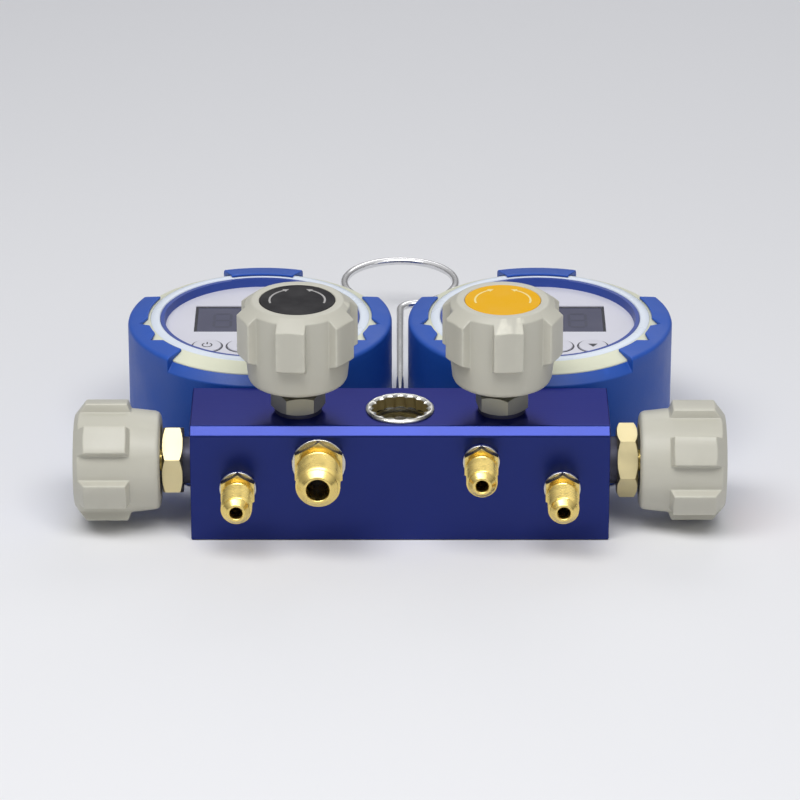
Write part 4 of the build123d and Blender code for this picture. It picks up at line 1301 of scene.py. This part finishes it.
class MANIFOLD_OT_stage(bpy.types.Operator):
    """Makes the pale floor, the soft lamps and the camera"""
    bl_idname = "manifold.stage"
    bl_label = "Stage"

    floor_colour = (0.84, 0.84, 0.85)
    aim = (0.0, 0.006, 0.045)

    def execute(self, context):
        self.make_floor(context)
        self.make_light(context)
        self.make_camera(context)
        return {"FINISHED"}

    def pale_material(self):
        return new_finish("Pale floor", self.floor_colour, roughness=0.85, Specular_IOR_Level=0.1)[0]

    def make_floor(self, context):
        bm = bmesh.new()
        bmesh.ops.create_grid(bm, x_segments=1, y_segments=1, size=6.0)
        mesh = bpy.data.meshes.new("floor")
        bm.to_mesh(mesh)
        bm.free()
        floor = bpy.data.objects.new("floor", mesh)
        mesh.materials.append(self.pale_material())
        context.scene.collection.objects.link(floor)
        floor.location.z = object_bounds()[0].z - 0.0002
        floor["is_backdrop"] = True

    def make_light(self, context):
        world = bpy.data.worlds.new("Studio")
        context.scene.world = world
        world.use_nodes = True
        tree = world.node_tree
        soft = tree.nodes["Background"]
        seen, mirrored, where, split, rise, rays = add_nodes(
            tree, "Background", "Background", "TexCoord", "SeparateXYZ", "MapRange", "LightPath")
        soft.inputs["Color"].default_value = (0.86, 0.89, 1.0, 1.0)
        soft.inputs["Strength"].default_value = 0.22
        seen.inputs["Color"].default_value = mirrored.inputs["Color"].default_value = (0.93, 0.93, 0.94, 1.0)
        seen.inputs["Strength"].default_value = 0.9
        for socket, value in (("From Min", 0.05), ("From Max", 0.90), ("To Min", 0.22), ("To Max", 0.95)):
            rise.inputs[socket].default_value = value
        link(
            tree, (where, "Generated", split, "Vector"), (split, "Z", rise, "Value"),
            (rise, "Result", mirrored, "Strength"))
        shader = soft.outputs["Background"]
        for ray, background in (("Transmission", mirrored), ("Glossy", mirrored), ("Camera", seen)):
            mix = tree.nodes.new("ShaderNodeMixShader")
            tree.links.new(rays.outputs[f"Is {ray} Ray"], mix.inputs["Fac"])
            tree.links.new(shader, mix.inputs[1])
            tree.links.new(background.outputs["Background"], mix.inputs[2])
            shader = mix.outputs["Shader"]
        tree.links.new(shader, tree.nodes["World Output"].inputs["Surface"])
        lamps = (
            ("key", (-0.12, -0.50, 1.15), (1.5, 0.5), 14.3),
            ("fill", (0.9, -0.9, 0.6), (0.8, 0.8), 1.2),
            ("rim", (0.2, 0.9, 0.8), (0.8, 0.5), 1.8),
        )
        for name, where, size, power in lamps:
            data = bpy.data.lights.new(name, "AREA")
            data.shape = "RECTANGLE"
            data.size, data.size_y = size
            data.energy = power
            lamp = bpy.data.objects.new(name, data)
            lamp.location = where
            aim = Vector(self.aim) - Vector(where)
            lamp.rotation_euler = aim.to_track_quat("-Z", "Y").to_euler()
            context.scene.collection.objects.link(lamp)

    def make_camera(self, context):
        stage = context.scene.manifold_stage
        data = bpy.data.cameras.new("camera")
        data.lens = stage.lens
        data.sensor_width = 36.0
        data.clip_start = 0.01
        camera = bpy.data.objects.new("camera", data)
        aim = Vector(self.aim)
        angle = stage.camera_height
        camera.location = aim + Vector((0, -cos(angle), sin(angle))) * stage.camera_distance
        camera.rotation_euler = (aim - camera.location).to_track_quat("-Z", "Y").to_euler()
        context.scene.collection.objects.link(camera)
        context.scene.camera = camera
        context.scene.view_settings.view_transform = "Standard"


OPERATORS = (
    MANIFOLD_OT_block,
    MANIFOLD_OT_sight_glass,
    MANIFOLD_OT_ports,
    MANIFOLD_OT_bonnets,
    MANIFOLD_OT_knobs,
    MANIFOLD_OT_discs,
    MANIFOLD_OT_boots,
    MANIFOLD_OT_bezels,
    MANIFOLD_OT_faces,
    MANIFOLD_OT_buttons,
    MANIFOLD_OT_hook,
    MANIFOLD_OT_inner_parts,
    MANIFOLD_OT_stage,
)


class MANIFOLD_PT_panel(bpy.types.Panel):
    """Lists the steps that dress the manifold"""
    bl_idname = "MANIFOLD_PT_panel"
    bl_label = "Manifold"
    bl_space_type = "VIEW_3D"
    bl_region_type = "UI"
    bl_category = "Manifold"

    def draw(self, context):
        for settings in ("manifold_sizes", "manifold_colours", "manifold_stage"):
            group = getattr(context.scene, settings)
            for name in group.__annotations__:
                self.layout.prop(group, name)
        for operator in OPERATORS:
            self.layout.operator(operator.bl_idname)


GROUPS = (ManifoldSizes, ManifoldColours, ManifoldStage)
CLASSES = GROUPS + OPERATORS + (MANIFOLD_PT_panel,)


def register():
    for item in CLASSES:
        bpy.utils.register_class(item)
    bpy.types.Scene.manifold_sizes = bpy.props.PointerProperty(type=ManifoldSizes)
    bpy.types.Scene.manifold_colours = bpy.props.PointerProperty(type=ManifoldColours)
    bpy.types.Scene.manifold_stage = bpy.props.PointerProperty(type=ManifoldStage)


def unregister():
    del bpy.types.Scene.manifold_stage
    del bpy.types.Scene.manifold_colours
    del bpy.types.Scene.manifold_sizes
    for item in reversed(CLASSES):
        bpy.utils.unregister_class(item)


def main():
    register()
    for operator in OPERATORS:
        group, name = operator.bl_idname.split(".")
        getattr(getattr(bpy.ops, group), name)()


if __name__ == "__main__":
    main()
